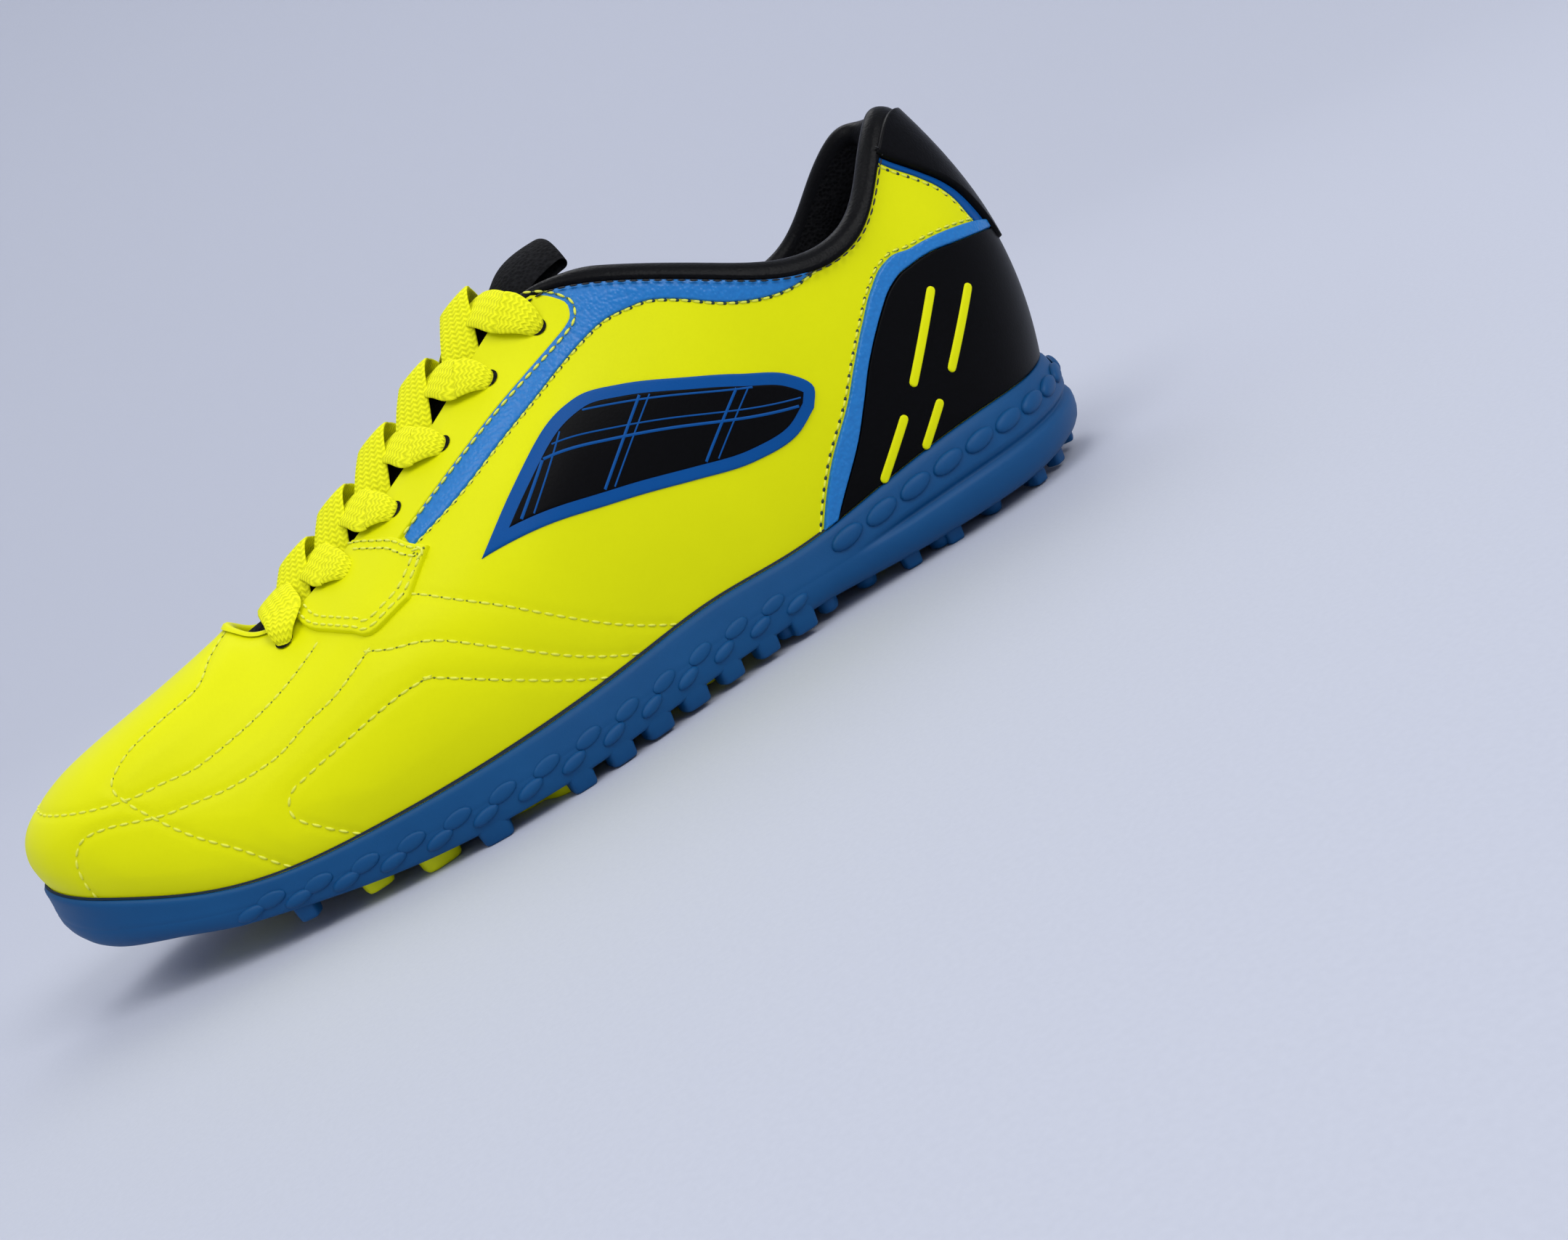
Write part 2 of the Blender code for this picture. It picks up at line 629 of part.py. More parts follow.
# Upper
def eyelet_cutter(name, side):
    """Six round cutters through the eyestay and the upper on one side."""
    bodies = []
    for row in EYELET_ROWS:
        u = row if side < 0 else AROUND - row
        outer = skin(u, EYELET_LEVEL, 0.004)[0]
        inner = skin(u, EYELET_LEVEL, -WALL - 0.002)[0]
        axis = outer - inner
        along = skin(u + 0.1, EYELET_LEVEL)[0] - skin(u - 0.1, EYELET_LEVEL)[0]
        radius = EYELET_DIAMETER / 2
        bodies.append(knob(inner, axis, along, (radius, radius), np.linalg.norm(axis), 0.0, 1.0,
                           EYELET_SIDES))
    return joined(name, bodies)


def make_upper():
    u = np.arange(COLUMNS) * AROUND / COLUMNS
    levels = np.linspace(0.0, 1.0, UPPER_ROWS)
    foot = feather_inset(u)
    low = bed_height(u) + GAP
    rings = [np.column_stack([outline(u, foot), low])]
    for v in levels:
        rings.append(skin(u, v))
    thickness = wall(u, 1.0)
    tangent = rib(u, 1.0) - rib(u, 0.97)
    tangent /= np.linalg.norm(tangent, axis=1)[:, None]
    rise = (RIM_ROUND * thickness * (1 + collar_share(u)))[:, None]
    for depth, share in ((0.15, 0.7), (0.5, 1.0), (0.85, 0.7)):
        rings.append(skin(u, 1.0, -thickness * depth) + tangent * rise * share)
    for v in levels[::-1]:
        rings.append(skin(u, v, -wall(u, v)))
    rings.append(np.column_stack([outline(u, foot + WALL), low]))
    points = [point for ring in rings for point in ring]
    faces = ring_faces(len(rings), COLUMNS)
    last = (len(rings) - 1) * COLUMNS
    for i in range(COLUMNS):
        j = (i + 1) % COLUMNS
        faces.append((last + i, last + j, j, i))
    upper = solid("upper", points, faces, (0.72, 0.88, 0.01), 0.35)
    for side, name in ((-1, "lateral"), (1, "medial")):
        combine(upper, eyelet_cutter("upper_holes_" + name, side), "DIFFERENCE")
    return upper


def slab(name, grid_outer, grid_inner, **finish):
    """A closed sheet between two grids of points of the same size."""
    rows, across = grid_outer.shape[:2]
    points = list(grid_outer.reshape(-1, 3)) + list(grid_inner.reshape(-1, 3))
    base = rows * across
    faces = []
    for i in range(rows - 1):
        for j in range(across - 1):
            k = i * across + j
            faces.append((k, k + 1, k + across + 1, k + across))
            faces.append((base + k, base + k + across, base + k + across + 1, base + k + 1))
    edge = [i * across for i in range(rows)]
    edge += [(rows - 1) * across + j for j in range(1, across)]
    edge += [i * across + across - 1 for i in range(rows - 2, -1, -1)]
    edge += [j for j in range(across - 2, 0, -1)]
    for here, there in zip(edge, edge[1:] + edge[:1]):
        faces.append((here, there, base + there, base + here))
    return solid(name, points, faces, **finish)


def overlay(name, u_grid, v_grid, thickness, **finish):
    """A sheet on the upper, worked out from the upper's own function."""
    shape = u_grid.shape
    u = u_grid.ravel()
    v = v_grid.ravel()
    outer = skin(u, v, SEAT + thickness).reshape(*shape, 3)
    inner = skin(u, v, SEAT).reshape(*shape, 3)
    return slab(name, outer, inner, **finish)


def table_value(rows, column, at_value):
    rows = np.array(rows, float)
    return np.interp(at_value, rows[:, 0], rows[:, column])


# Heel counter: its top edge by place round the heel, and its front edge by share of its height
COUNTER_TOP = ((0.0, 0.50), (1.6, 0.53), (2.35, 0.58), (3.2, 0.69), (3.7, 0.77), (3.95, 0.79))
COUNTER_FRONT = ((0.0, 5.68), (0.24, 5.31), (0.48, 4.96), (0.67, 4.72), (0.84, 4.47), (0.95, 4.2),
                 (1.0, 3.95))
COUNTER_FOOT = 0.02


def make_counter():
    share, level = np.meshgrid(np.linspace(-1, 1, 21), np.linspace(0, 1, 5), indexing="ij")
    top = table_value(COUNTER_TOP, 1, np.abs(share) * COUNTER_TOP[-1][0])
    v = COUNTER_FOOT + level * (top - COUNTER_FOOT)
    u = -share * table_value(COUNTER_FRONT, 1, level)
    return overlay("heel_counter", u, v, COUNTER, colour=(0.012, 0.012, 0.014), roughness=0.4)


# Edges of the two trims beside the throat: place round the foot, lower edge and upper edge
EYESTAY_EDGES = ((8.42, 0.880, 0.985), (8.6, 0.845, 0.985), (9.05, 0.812, 0.985),
                 (9.95, 0.808, 0.985), (10.25, 0.795, 0.985), (10.40, 0.640, 0.985),
                 (10.70, 0.530, 0.985), (10.95, 0.545, 0.985), (11.60, 0.710, 0.985),
                 (12.20, 0.860, 0.985), (12.70, 0.950, 0.985))
BAND_EDGES = ((4.60, 0.970, 0.985), (5.15, 0.925, 0.985), (5.55, 0.900, 0.985),
              (6.50, 0.905, 0.985), (7.20, 0.880, 0.985), (7.60, 0.850, 0.985),
              (8.00, 0.805, 0.985), (8.25, 0.782, 0.885), (8.60, 0.760, 0.826),
              (9.05, 0.725, 0.796), (9.95, 0.690, 0.792), (10.15, 0.690, 0.780))


def make_trim(name, edges, side, places, rows, **finish):
    along, level = np.meshgrid(np.linspace(edges[0][0], edges[-1][0], places),
                               np.linspace(0, 1, rows), indexing="ij")
    low = table_value(edges, 1, along)
    high = table_value(edges, 2, along)
    u = along if side < 0 else AROUND - along
    return overlay(name, u, low + level * (high - low), OVERLAY, **finish)


def make_trims():
    for side, name in ((-1, "lateral"), (1, "medial")):
        eyestay = make_trim("eyestay_" + name, EYESTAY_EDGES, side, 20, 3,
                            colour=(0.72, 0.88, 0.01), roughness=0.35)
        combine(eyestay, eyelet_cutter("eyestay_holes_" + name, side), "DIFFERENCE")
        make_trim("collar_band_" + name, BAND_EDGES, side, 24, 3, colour=(0.03, 0.20, 0.55),
                  roughness=0.35)


# Tongue: places round the throat, and how far down under the eyestays it reaches
TONGUE_ROWS = ((9.0, 0.965), (9.3, 0.90), (9.7, 0.83), (10.3, 0.80), (11.0, 0.80), (11.7, 0.80),
               (12.4, 0.81), (13.1, 0.83))
TONGUE_FRONT = (13.8, 0.90)
DOME_PLACES = (-0.66, -0.33, 0.0, 0.33, 0.66)


def throat_edge(u, depth):
    """The opening's edge at u, depth under the upper's outer face."""
    return skin(u, 1.0, -depth)[0]


def tongue_section(u, side_level, depth):
    """One section of the tongue from the lateral side to the medial side."""
    lateral = []
    medial = []
    for v in (side_level, 0.5 * (side_level + 1.0), 1.0):
        lateral.append(skin(u, v, -depth)[0])
        medial.append(skin(AROUND - u, v, -depth)[0])
    half = 0.5 * (medial[-1][1] - lateral[-1][1])
    middle = 0.5 * (lateral[-1] + medial[-1])
    dome = [middle + np.array([0.0, half * q, TONGUE_CROWN * half * (1 - q * q)]) for q in DOME_PLACES]
    return lateral + dome + medial[::-1]


def tongue_grid(depth):
    rows = []
    top = tongue_section(TONGUE_ROWS[0][0], TONGUE_ROWS[0][1], depth)
    ridge = top[len(top) // 2]
    for share in (1.0, 0.75, 0.5, 0.25):
        moved = []
        for point in top:
            shift = np.array([TONGUE_TOP_LENGTH * share, 0.0, TONGUE_TOP_RISE * share])
            from_ridge = point - ridge
            from_ridge[1] *= 1 - 0.22 * share
            from_ridge[2] *= 1 - 0.30 * share
            from_ridge[0] *= 1 - share
            moved.append(ridge + from_ridge + shift)
        rows.append(moved)
    for u, level in TONGUE_ROWS:
        rows.append(tongue_section(u, level, depth))
    across = len(top)
    start, level = TONGUE_FRONT
    places = np.linspace(start, AROUND - start, across)
    rows.append([skin(u, level, -depth)[0] for u in places])
    return np.array(rows)


def make_tongue():
    outer = tongue_grid(WALL + TONGUE_CLEAR)
    inner = tongue_grid(WALL + TONGUE_CLEAR + TONGUE_THICKNESS)
    return slab("tongue", outer, inner, colour=(0.015, 0.015, 0.016), roughness=0.6)


# Laces
def throat_half(x):
    """Half the throat's width at a place along it, and the height of its edge."""
    u = np.linspace(8.6, 15.0, 200)
    edge = skin(u, 1.0, -(WALL + TONGUE_CLEAR))
    order = np.argsort(edge[:, 0])
    half = np.interp(x, edge[order, 0], -edge[order, 1])
    height = np.interp(x, edge[order, 0], edge[order, 2])
    return half, height


def over_tongue(x, y, lift):
    """A point over the tongue's dome, and the dome's direction there."""
    half, height = throat_half(x)
    q = y / half
    normal = np.array([-0.40, 2 * TONGUE_CROWN * q, 1.0])
    normal /= np.linalg.norm(normal)
    point = np.array([x, y, height + TONGUE_CROWN * half * (1 - q * q)])
    return point + normal * lift, normal


def strap(path, normals):
    """A flat lace along a path, as points and faces."""
    points = []
    for k, place in enumerate(path):
        tangent = path[min(k + 1, len(path) - 1)] - path[max(k - 1, 0)]
        normal = normals[k] - tangent * np.dot(normals[k], tangent) / np.dot(tangent, tangent)
        normal /= np.linalg.norm(normal)
        across = np.cross(normal, tangent)
        across *= LACE_WIDTH / 2 / np.linalg.norm(across)
        thick = normal * LACE_THICKNESS / 2
        points += [place - across - thick, place + across - thick,
                   place + across + thick, place - across + thick]
    faces = ring_faces(len(path), 4)
    faces += [(0, 1, 2, 3), tuple(4 * (len(path) - 1) + k for k in range(4))]
    return points, faces


def lace_path(start, finish, side, raised):
    """A lace from the eyelet of one row over the tongue to the far edge at another row."""
    lift = LACE_CLEAR + LACE_THICKNESS / 2
    begin = start if side < 0 else AROUND - start
    path = []
    normals = []
    for level in LACE_LEVELS:
        base = skin(begin, level)[0]
        point = skin(begin, level, SEAT + OVERLAY + EYESTAY_CLEAR + lift)[0]
        path.append(point)
        normals.append(point - base)
    edge = path[-1]
    edge_normal = normals[-1] / np.linalg.norm(normals[-1])
    far = throat_edge(start + LACE_REACH * (finish - start), WALL + TONGUE_CLEAR)
    far_y = -side * (throat_half(far[0])[0] - FAR_STOP)
    crest_x = edge[0] + (far[0] - edge[0]) * edge[1] / (edge[1] - far_y)
    crest, crest_normal = over_tongue(crest_x, 0.0, lift + CREST_LIFT + raised)
    for share in (0.25, 0.5, 0.75):
        point = edge + (crest - edge) * share
        point[2] += NEAR_ARCH * 4 * share * (1 - share)
        path.append(point)
        normals.append(edge_normal * (1 - share) + crest_normal * share)
    for share in (0.0, 0.33, 0.67, 1.0):
        x = crest_x + (far[0] - crest_x) * share
        point, normal = over_tongue(x, far_y * share, lift + (CREST_LIFT + raised) * (1 - share))
        path.append(point)
        normals.append(normal)
    return path, normals


def make_laces():
    finish = {"colour": (0.66, 0.80, 0.02), "roughness": 0.75}
    levels = EYELET_ROWS
    path, normals = lace_path(levels[0], levels[0], -1, 0.0)
    middle = len(path) - 3
    far_path, far_normals = lace_path(levels[0], levels[0], 1, 0.0)
    bar = path[:middle] + far_path[:middle - 1][::-1]
    bar_normals = normals[:middle] + far_normals[:middle - 1][::-1]
    points, faces = strap(bar, bar_normals)
    solid("lace_bar", points, faces, **finish)
    for k in range(1, len(levels)):
        under = strap(*lace_path(levels[k], levels[k - 1], -1, 0.0))
        over = strap(*lace_path(levels[k], levels[k - 1], 1, LACE_THICKNESS * 0.9))
        lace = solid("lace_crossing_%d" % k, *under, **finish)
        combine(lace, helper(solid("lace_over_%d" % k, *over)), "UNION")


# Insole
def make_insole():
    u = np.arange(COLUMNS) * AROUND / COLUMNS
    edge = outline(u, feather_inset(u) + WALL + GAP)
    low = np.column_stack([edge, bed_height(u) + GAP])
    high = low + np.array([0, 0, INSOLE_THICKNESS])
    return lofted("insole", [low, high], 0.0, 0.0, colour=(0.02, 0.02, 0.02), roughness=0.8)


def clear_scene():
    for obj in list(bpy.data.objects):
        bpy.data.objects.remove(obj)


clear_scene()
make_sole()
make_upper()
make_insole()
make_counter()
make_trims()
make_tongue()
make_laces()
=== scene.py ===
"""The looks of a left turf shoe, empty and unbent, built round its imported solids.

The toe points to -X and the heel to +X, the outer (lateral) side faces -Y and the inner (medial)
side +Y. A place on the upper is (u, v): u counts the table's sections round the foot, from 0 at the
heel along the lateral side to 16 at the toe and back along the medial side, and v runs from the
sole (0) to the edge of the opening (1).
"""

import math

import bpy
import numpy as np
from mathutils import Matrix, Vector
from mathutils.kdtree import KDTree


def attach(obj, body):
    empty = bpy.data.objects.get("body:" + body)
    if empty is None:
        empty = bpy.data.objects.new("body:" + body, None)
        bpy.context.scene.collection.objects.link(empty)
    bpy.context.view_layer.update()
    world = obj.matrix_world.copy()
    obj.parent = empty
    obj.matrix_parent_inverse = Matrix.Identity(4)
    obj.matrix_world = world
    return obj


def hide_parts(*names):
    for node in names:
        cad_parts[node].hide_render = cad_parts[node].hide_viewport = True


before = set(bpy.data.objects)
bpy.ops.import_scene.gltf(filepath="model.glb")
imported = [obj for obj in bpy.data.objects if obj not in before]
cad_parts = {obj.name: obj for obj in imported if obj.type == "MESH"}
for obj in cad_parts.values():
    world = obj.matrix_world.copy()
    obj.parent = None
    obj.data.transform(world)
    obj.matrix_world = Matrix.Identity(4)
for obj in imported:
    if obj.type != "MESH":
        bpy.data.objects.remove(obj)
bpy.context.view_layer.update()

# Driving sizes, in metres, as in the part.
LENGTH = 0.288
BALL_WIDTH = 0.103
HEEL_WIDTH = 0.072
INSTEP_HEIGHT = 0.104
HEEL_HEIGHT = 0.106
SOLE_THICKNESS = 0.0264
STUD_HEIGHT = 0.0036
HEEL_BED = 0.0095
FOREFOOT_BED = 0.0062
LIP_WIDTH = 0.0015
WALL = 0.0022
COLLAR_PAD = 0.0065
TONGUE_THICKNESS = 0.0035
TONGUE_CROWN = 0.58
TONGUE_TOP_LENGTH = 0.018
TONGUE_TOP_RISE = 0.0070
LACE_WIDTH = 0.0106
LACE_THICKNESS = 0.0011
GAP = 0.0003

# Heights above the upper's own surface.
FILM = 0.0005
EYESTAY_RISE = 0.0009
PATCH_RISE = 0.0012
COUNTER_RISE = 0.0012
PANEL_UNDER_SEAM = {"strip": EYESTAY_RISE, "patch": PATCH_RISE}
TAB_RISE = 0.0019
BAR_RISE = 0.0003
BADGE_FIELD_RISE = 0.00015
BADGE_LINE_RISE = 0.00012
STITCH_PITCH = 0.0028
STITCH_LENGTH = 0.0023
THREAD = 0.00065

# Sections round the foot from the heel's middle to the toe's middle, as in the part.
SECTION_COLUMNS = ("x", "lateral", "medial", "spring", "lip", "lean", "rim_x", "rim_z", "rim_lateral",
                   "rim_medial", "low", "flare", "high", "slope")
SECTIONS = (
    (0.500, 0.00, 0.00, 0.150, 0.91, 0.14, 0.450, 0.940, 0.00, 0.00, 0.41, 13, 0.31, 67),
    (0.484, 0.36, 0.36, 0.110, 0.88, 0.14, 0.445, 0.945, 0.25, 0.26, 0.41, 13, 0.31, 67),
    (0.444, 0.68, 0.70, 0.060, 0.85, 0.13, 0.424, 0.945, 0.43, 0.45, 0.39, 10, 0.34, 74),
    (0.389, 0.89, 0.90, 0.010, 0.85, 0.12, 0.388, 0.865, 0.60, 0.64, 0.37, 8, 0.34, 82),
    (0.319, 0.99, 0.97, 0.000, 0.82, 0.11, 0.340, 0.750, 0.75, 0.79, 0.35, 6, 0.34, 86),
    (0.243, 1.01, 0.90, 0.008, 0.71, 0.11, 0.273, 0.735, 0.83, 0.84, 0.34, 5, 0.33, 84),
    (0.160, 0.99, 0.78, 0.050, 0.60, 0.11, 0.205, 0.820, 0.76, 0.75, 0.34, 4, 0.33, 78),
    (0.076, 0.96, 0.72, 0.060, 0.62, 0.10, 0.143, 0.912, 0.63, 0.61, 0.34, 4, 0.32, 72),
    (-0.007, 0.96, 0.79, 0.030, 0.56, 0.10, 0.094, 0.972, 0.48, 0.46, 0.34, 5, 0.31, 64),
    (-0.090, 1.00, 0.91, 0.000, 0.51, 0.10, 0.047, 0.963, 0.34, 0.34, 0.35, 7, 0.31, 52),
    (-0.174, 0.99, 1.00, 0.000, 0.47, 0.10, -0.031, 0.840, 0.28, 0.28, 0.36, 8, 0.31, 42),
    (-0.250, 0.90, 0.97, 0.045, 0.45, 0.10, -0.115, 0.716, 0.26, 0.26, 0.36, 9, 0.32, 38),
    (-0.319, 0.78, 0.89, 0.140, 0.47, 0.09, -0.188, 0.622, 0.23, 0.23, 0.35, 9, 0.34, 35),
    (-0.382, 0.64, 0.78, 0.250, 0.60, 0.07, -0.241, 0.588, 0.20, 0.20, 0.34, 10, 0.38, 31),
    (-0.438, 0.47, 0.60, 0.370, 0.83, 0.04, -0.262, 0.613, 0.135, 0.135, 0.33, 10, 0.43, 25),
    (-0.480, 0.25, 0.38, 0.500, 1.02, 0.01, -0.268, 0.632, 0.065, 0.065, 0.34, 12, 0.48, 21),
    (-0.500, -0.08, 0.08, 0.680, 1.13, 0.00, -0.269, 0.636, 0.00, 0.00, 0.34, 11, 0.50, 20),
)


def column_index(name):
    return SECTION_COLUMNS.index(name)


def local_share(x):
    """How far a place belongs to the heel (1) or to the forefoot (0)."""
    t = np.clip((x / LENGTH + 0.10) / 0.32, 0.0, 1.0)
    return t * t * (3 - 2 * t)


def closed_table():
    """The sections round the whole foot: heel, lateral side, toe and back along the medial side."""
    rows = np.array(SECTIONS, float)
    around = np.vstack([rows, rows[-2:0:-1]])
    side = np.r_[np.full(len(rows), -1.0), np.full(len(rows) - 2, 1.0)]
    x = around[:, column_index("x")] * LENGTH
    heel = local_share(x)
    half_width = (BALL_WIDTH * (1 - heel) + HEEL_WIDTH * heel) / 2
    height = INSTEP_HEIGHT * (1 - heel) + HEEL_HEIGHT * heel
    share = np.where(side < 0, around[:, column_index("lateral")], around[:, column_index("medial")])
    rim_share = np.where(side < 0, around[:, column_index("rim_lateral")],
                         around[:, column_index("rim_medial")])
    rim_x = around[:, column_index("rim_x")] * LENGTH
    rim_heel = local_share(rim_x)
    rim_half = (BALL_WIDTH * (1 - rim_heel) + HEEL_WIDTH * rim_heel) / 2
    return np.column_stack([
        x,
        side * share * half_width,
        STUD_HEIGHT + around[:, column_index("spring")] * SOLE_THICKNESS,
        STUD_HEIGHT + around[:, column_index("lip")] * SOLE_THICKNESS,
        rim_x,
        side * rim_share * rim_half,
        around[:, column_index("rim_z")] * height,
        around[:, column_index("low")],
        np.radians(around[:, column_index("flare")]),
        around[:, column_index("high")],
        np.radians(around[:, column_index("slope")]),
        around[:, column_index("lean")],
    ])


def curve(t, start, leave, end, reach):
    """The cubic curve between two points that leaves one along leave and reaches the other along reach."""
    return ((2 * t ** 3 - 3 * t ** 2 + 1) * start + (t ** 3 - 2 * t ** 2 + t) * leave
            + (3 * t ** 2 - 2 * t ** 3) * end + (t ** 3 - t ** 2) * reach)


def spline_tangents(values):
    """Tangents of the smooth closed curve through the rows."""
    count = len(values)
    system = 4 * np.eye(count) + np.roll(np.eye(count), 1, 0) + np.roll(np.eye(count), -1, 0)
    return np.linalg.solve(system, 3 * (np.roll(values, -1, 0) - np.roll(values, 1, 0)))


TABLE = closed_table()
TANGENTS = spline_tangents(TABLE)
AROUND = len(TABLE)
TOE = AROUND // 2


def section(u):
    """All columns at the places u round the foot, where whole numbers are the table's rows."""
    u = np.mod(np.atleast_1d(np.asarray(u, float)), AROUND)
    low = np.floor(u).astype(int) % AROUND
    high = (low + 1) % AROUND
    t = (u - np.floor(u))[:, None]
    return curve(t, TABLE[low], TANGENTS[low], TABLE[high], TANGENTS[high])


def outward(u):
    """The flat outward direction of the sole's outline."""
    step = 0.01
    along = section(u + step)[:, :2] - section(u - step)[:, :2]
    normal = np.column_stack([-along[:, 1], along[:, 0]])
    return normal / np.linalg.norm(normal, axis=1)[:, None]


def outline(u, inset):
    """The sole's outline in plan, drawn in by inset."""
    return section(u)[:, :2] - outward(u) * np.asarray(inset, float).reshape(-1, 1)


def underside(u):
    return np.maximum(section(u)[:, 2], STUD_HEIGHT)


def lip_height(u):
    return section(u)[:, 3]


def bed_height(u):
    part = section(u)
    heel = local_share(part[:, 0])
    return underside(u) + HEEL_BED * heel + FOREFOOT_BED * (1 - heel)


def lip_inset(u):
    return section(u)[:, 11] * (lip_height(u) - underside(u))


def feather_inset(u):
    return lip_inset(u) + LIP_WIDTH + GAP


def rib(u, v):
    """A point of the upper's outer face."""
    part = section(u)
    out = np.column_stack([outward(u), np.zeros(len(part))])
    up = np.array([0.0, 0.0, 1.0])
    foot = np.column_stack([outline(u, feather_inset(u)), lip_height(u)])
    rim = part[:, 4:7]
    chord = np.linalg.norm(rim - foot, axis=1)[:, None]
    flare = part[:, 8][:, None]
    slope = part[:, 10][:, None]
    first = foot + part[:, 7][:, None] * chord * (np.sin(flare) * out + np.cos(flare) * up)
    second = rim + part[:, 9][:, None] * chord * (np.cos(slope) * out - np.sin(slope) * up)
    v = np.asarray(v, float).reshape(-1, 1)
    w = 1 - v
    return w ** 3 * foot + 3 * w * w * v * first + 3 * w * v * v * second + v ** 3 * rim


def directions(u, v):
    """How the upper's surface runs with u and with v, and its outward direction."""
    step = 0.02
    along = (rib(u + step, v) - rib(u - step, v)) / (2 * step)
    across = (rib(u, v + step) - rib(u, v - step)) / (2 * step)
    normal = np.cross(across, along)
    return along, across, normal / np.linalg.norm(normal, axis=1)[:, None]


def skin(u, v, offset=0.0):
    """A point of the upper, moved by offset along its outward direction."""
    u = np.atleast_1d(np.asarray(u, float))
    v = np.atleast_1d(np.asarray(v, float)) * np.ones_like(u)
    normal = directions(u, v)[2]
    return rib(u, v) + normal * np.broadcast_to(offset, u.shape).reshape(-1, 1)


def collar_share(u):
    """How far a place belongs to the padded collar (1) or to the throat and vamp (0)."""
    from_heel = np.minimum(np.mod(u, AROUND), AROUND - np.mod(u, AROUND))
    t = np.clip((8.8 - from_heel) / 1.6, 0.0, 1.0)
    return t * t * (3 - 2 * t)


def wall(u, v):
    """The upper's thickness, thicker at the padded collar."""
    t = np.clip((v - 0.55) / 0.35, 0.0, 1.0)
    pad = t * t * (3 - 2 * t) * collar_share(u)
    return WALL + (COLLAR_PAD - WALL) * pad


# Shader expressions
class Value:
    """A socket of a material. Arithmetic on it adds Math nodes."""

    def __init__(self, shader, socket):
        self.shader = shader
        self.socket = socket

    def math(self, operation, *others):
        return self.shader.node("ShaderNodeMath", {"operation": operation}, self, *others)

    def __add__(self, other):
        return self.math("ADD", other)

    def __sub__(self, other):
        return self.math("SUBTRACT", other)

    def __rsub__(self, other):
        return self.shader.node("ShaderNodeMath", {"operation": "SUBTRACT"}, other, self)

    def __mul__(self, other):
        return self.math("MULTIPLY", other)

    __radd__ = __add__
    __rmul__ = __mul__

    def sine(self):
        return self.math("SINE")

    def pingpong(self, scale):
        return self.math("PINGPONG", scale)


class Shader:
    """A material made from expressions."""

    def __init__(self, name):
        self.material = bpy.data.materials.new(name)
        self.material.use_nodes = True
        self.tree = self.material.node_tree
        self.tree.nodes.clear()

    def feed(self, value, socket):
        if isinstance(value, Value):
            self.tree.links.new(value.socket, socket)
        else:
            if socket.type == "RGBA" and len(value) == 3:
                value = (*value, 1.0)
            socket.default_value = value

    def node(self, kind, settings, *inputs, output=0, named=None):
        """Adds a node, sets it up, fills its inputs in order or by name, and gives an output."""
        node = self.tree.nodes.new(kind)
        for key, value in settings.items():
            setattr(node, key, value)
        for k, value in enumerate(inputs):
            self.feed(value, node.inputs[k])
        for key, value in (named or {}).items():
            self.feed(value, node.inputs[key])
        return Value(self, node.outputs[output])

    def place(self):
        """The place on the object, in metres."""
        return self.node("ShaderNodeTexCoord", {}, output=3)

    def attribute(self, name):
        return self.node("ShaderNodeAttribute", {"attribute_name": name}, output=2)

    def noise(self, scale, detail=2.0):
        named = {"Vector": self.place(), "Scale": scale, "Detail": detail}
        return self.node("ShaderNodeTexNoise", {}, named=named)

    def cells(self, scale, feature="F1"):
        named = {"Vector": self.place(), "Scale": scale}
        return self.node("ShaderNodeTexVoronoi", {"feature": feature}, named=named)

    def mix(self, factor, low, high):
        """A colour between two colours."""
        node = self.tree.nodes.new("ShaderNodeMix")
        node.data_type = "RGBA"
        self.feed(factor, node.inputs[0])
        self.feed(low, node.inputs[6])
        self.feed(high, node.inputs[7])
        return Value(self, node.outputs[2])

    def bump(self, height, depth, strength):
        named = {"Height": height, "Distance": depth, "Strength": strength}
        return self.node("ShaderNodeBump", {}, named=named)

    def finish(self, sockets):
        surface = self.node("ShaderNodeBsdfPrincipled", {}, named=sockets)
        output = self.tree.nodes.new("ShaderNodeOutputMaterial")
        self.feed(surface, output.inputs["Surface"])
        return self.material


# Finishes
NEON = (0.77, 0.78, 0.0)
NEON_DEEP = (0.67, 0.68, 0.0)
# BLUE is painted into the blue leather's crevices as shade; BLUE_PALE is that leather's own colour
BLUE = (0.001, 0.102, 0.350)
BLUE_PALE = (0.008, 0.180, 0.500)
BLACK = (0.0012, 0.0012, 0.0015)
# A paler black: the black film's random cloudy tone, and the black leather's own colour, whose crevices are
# painted darker as shade
BLACK_PALER = (0.002, 0.002, 0.0025)


def smooth_leather(name, colour, deep, roughness, shine):
    """Coated synthetic leather: smooth, softly shining, with a very fine grain."""
    shader = Shader(name)
    cloudy = shader.noise(28.0, 3.0)
    grain = shader.cells(1500.0)
    fine = shader.noise(3800.0)
    base = shader.mix((cloudy - 0.35) * 0.9, colour, deep)
    gloss = roughness + (cloudy - 0.5) * 0.12 + (fine - 0.5) * 0.08
    relief = shader.bump(grain + fine * 0.6, 0.00005, 0.28)
    return shader.finish({"Base Color": base, "Roughness": gloss, "Normal": relief,
                          "Specular IOR Level": shine})


def pebbled_leather(name, colour, pale, roughness, pebble, depth, shine):
    """Synthetic leather with a pebble grain, its crevices between the pebbles painted darker as shade."""
    shader = Shader(name)
    uneven = shader.noise(500.0)
    pebbles = shader.cells(1 / pebble, "SMOOTH_F1")
    # Paler on the pebbles and darker in the crevices between them: painted shade, following the relief
    base = shader.mix((pebbles - 0.2) * 0.5, pale, colour)
    relief = shader.bump(pebbles * -1.0 + uneven * 0.5, depth, 0.8)
    gloss = roughness + (uneven - 0.5) * 0.2
    return shader.finish({"Base Color": base, "Roughness": gloss, "Normal": relief,
                          "Specular IOR Level": shine})


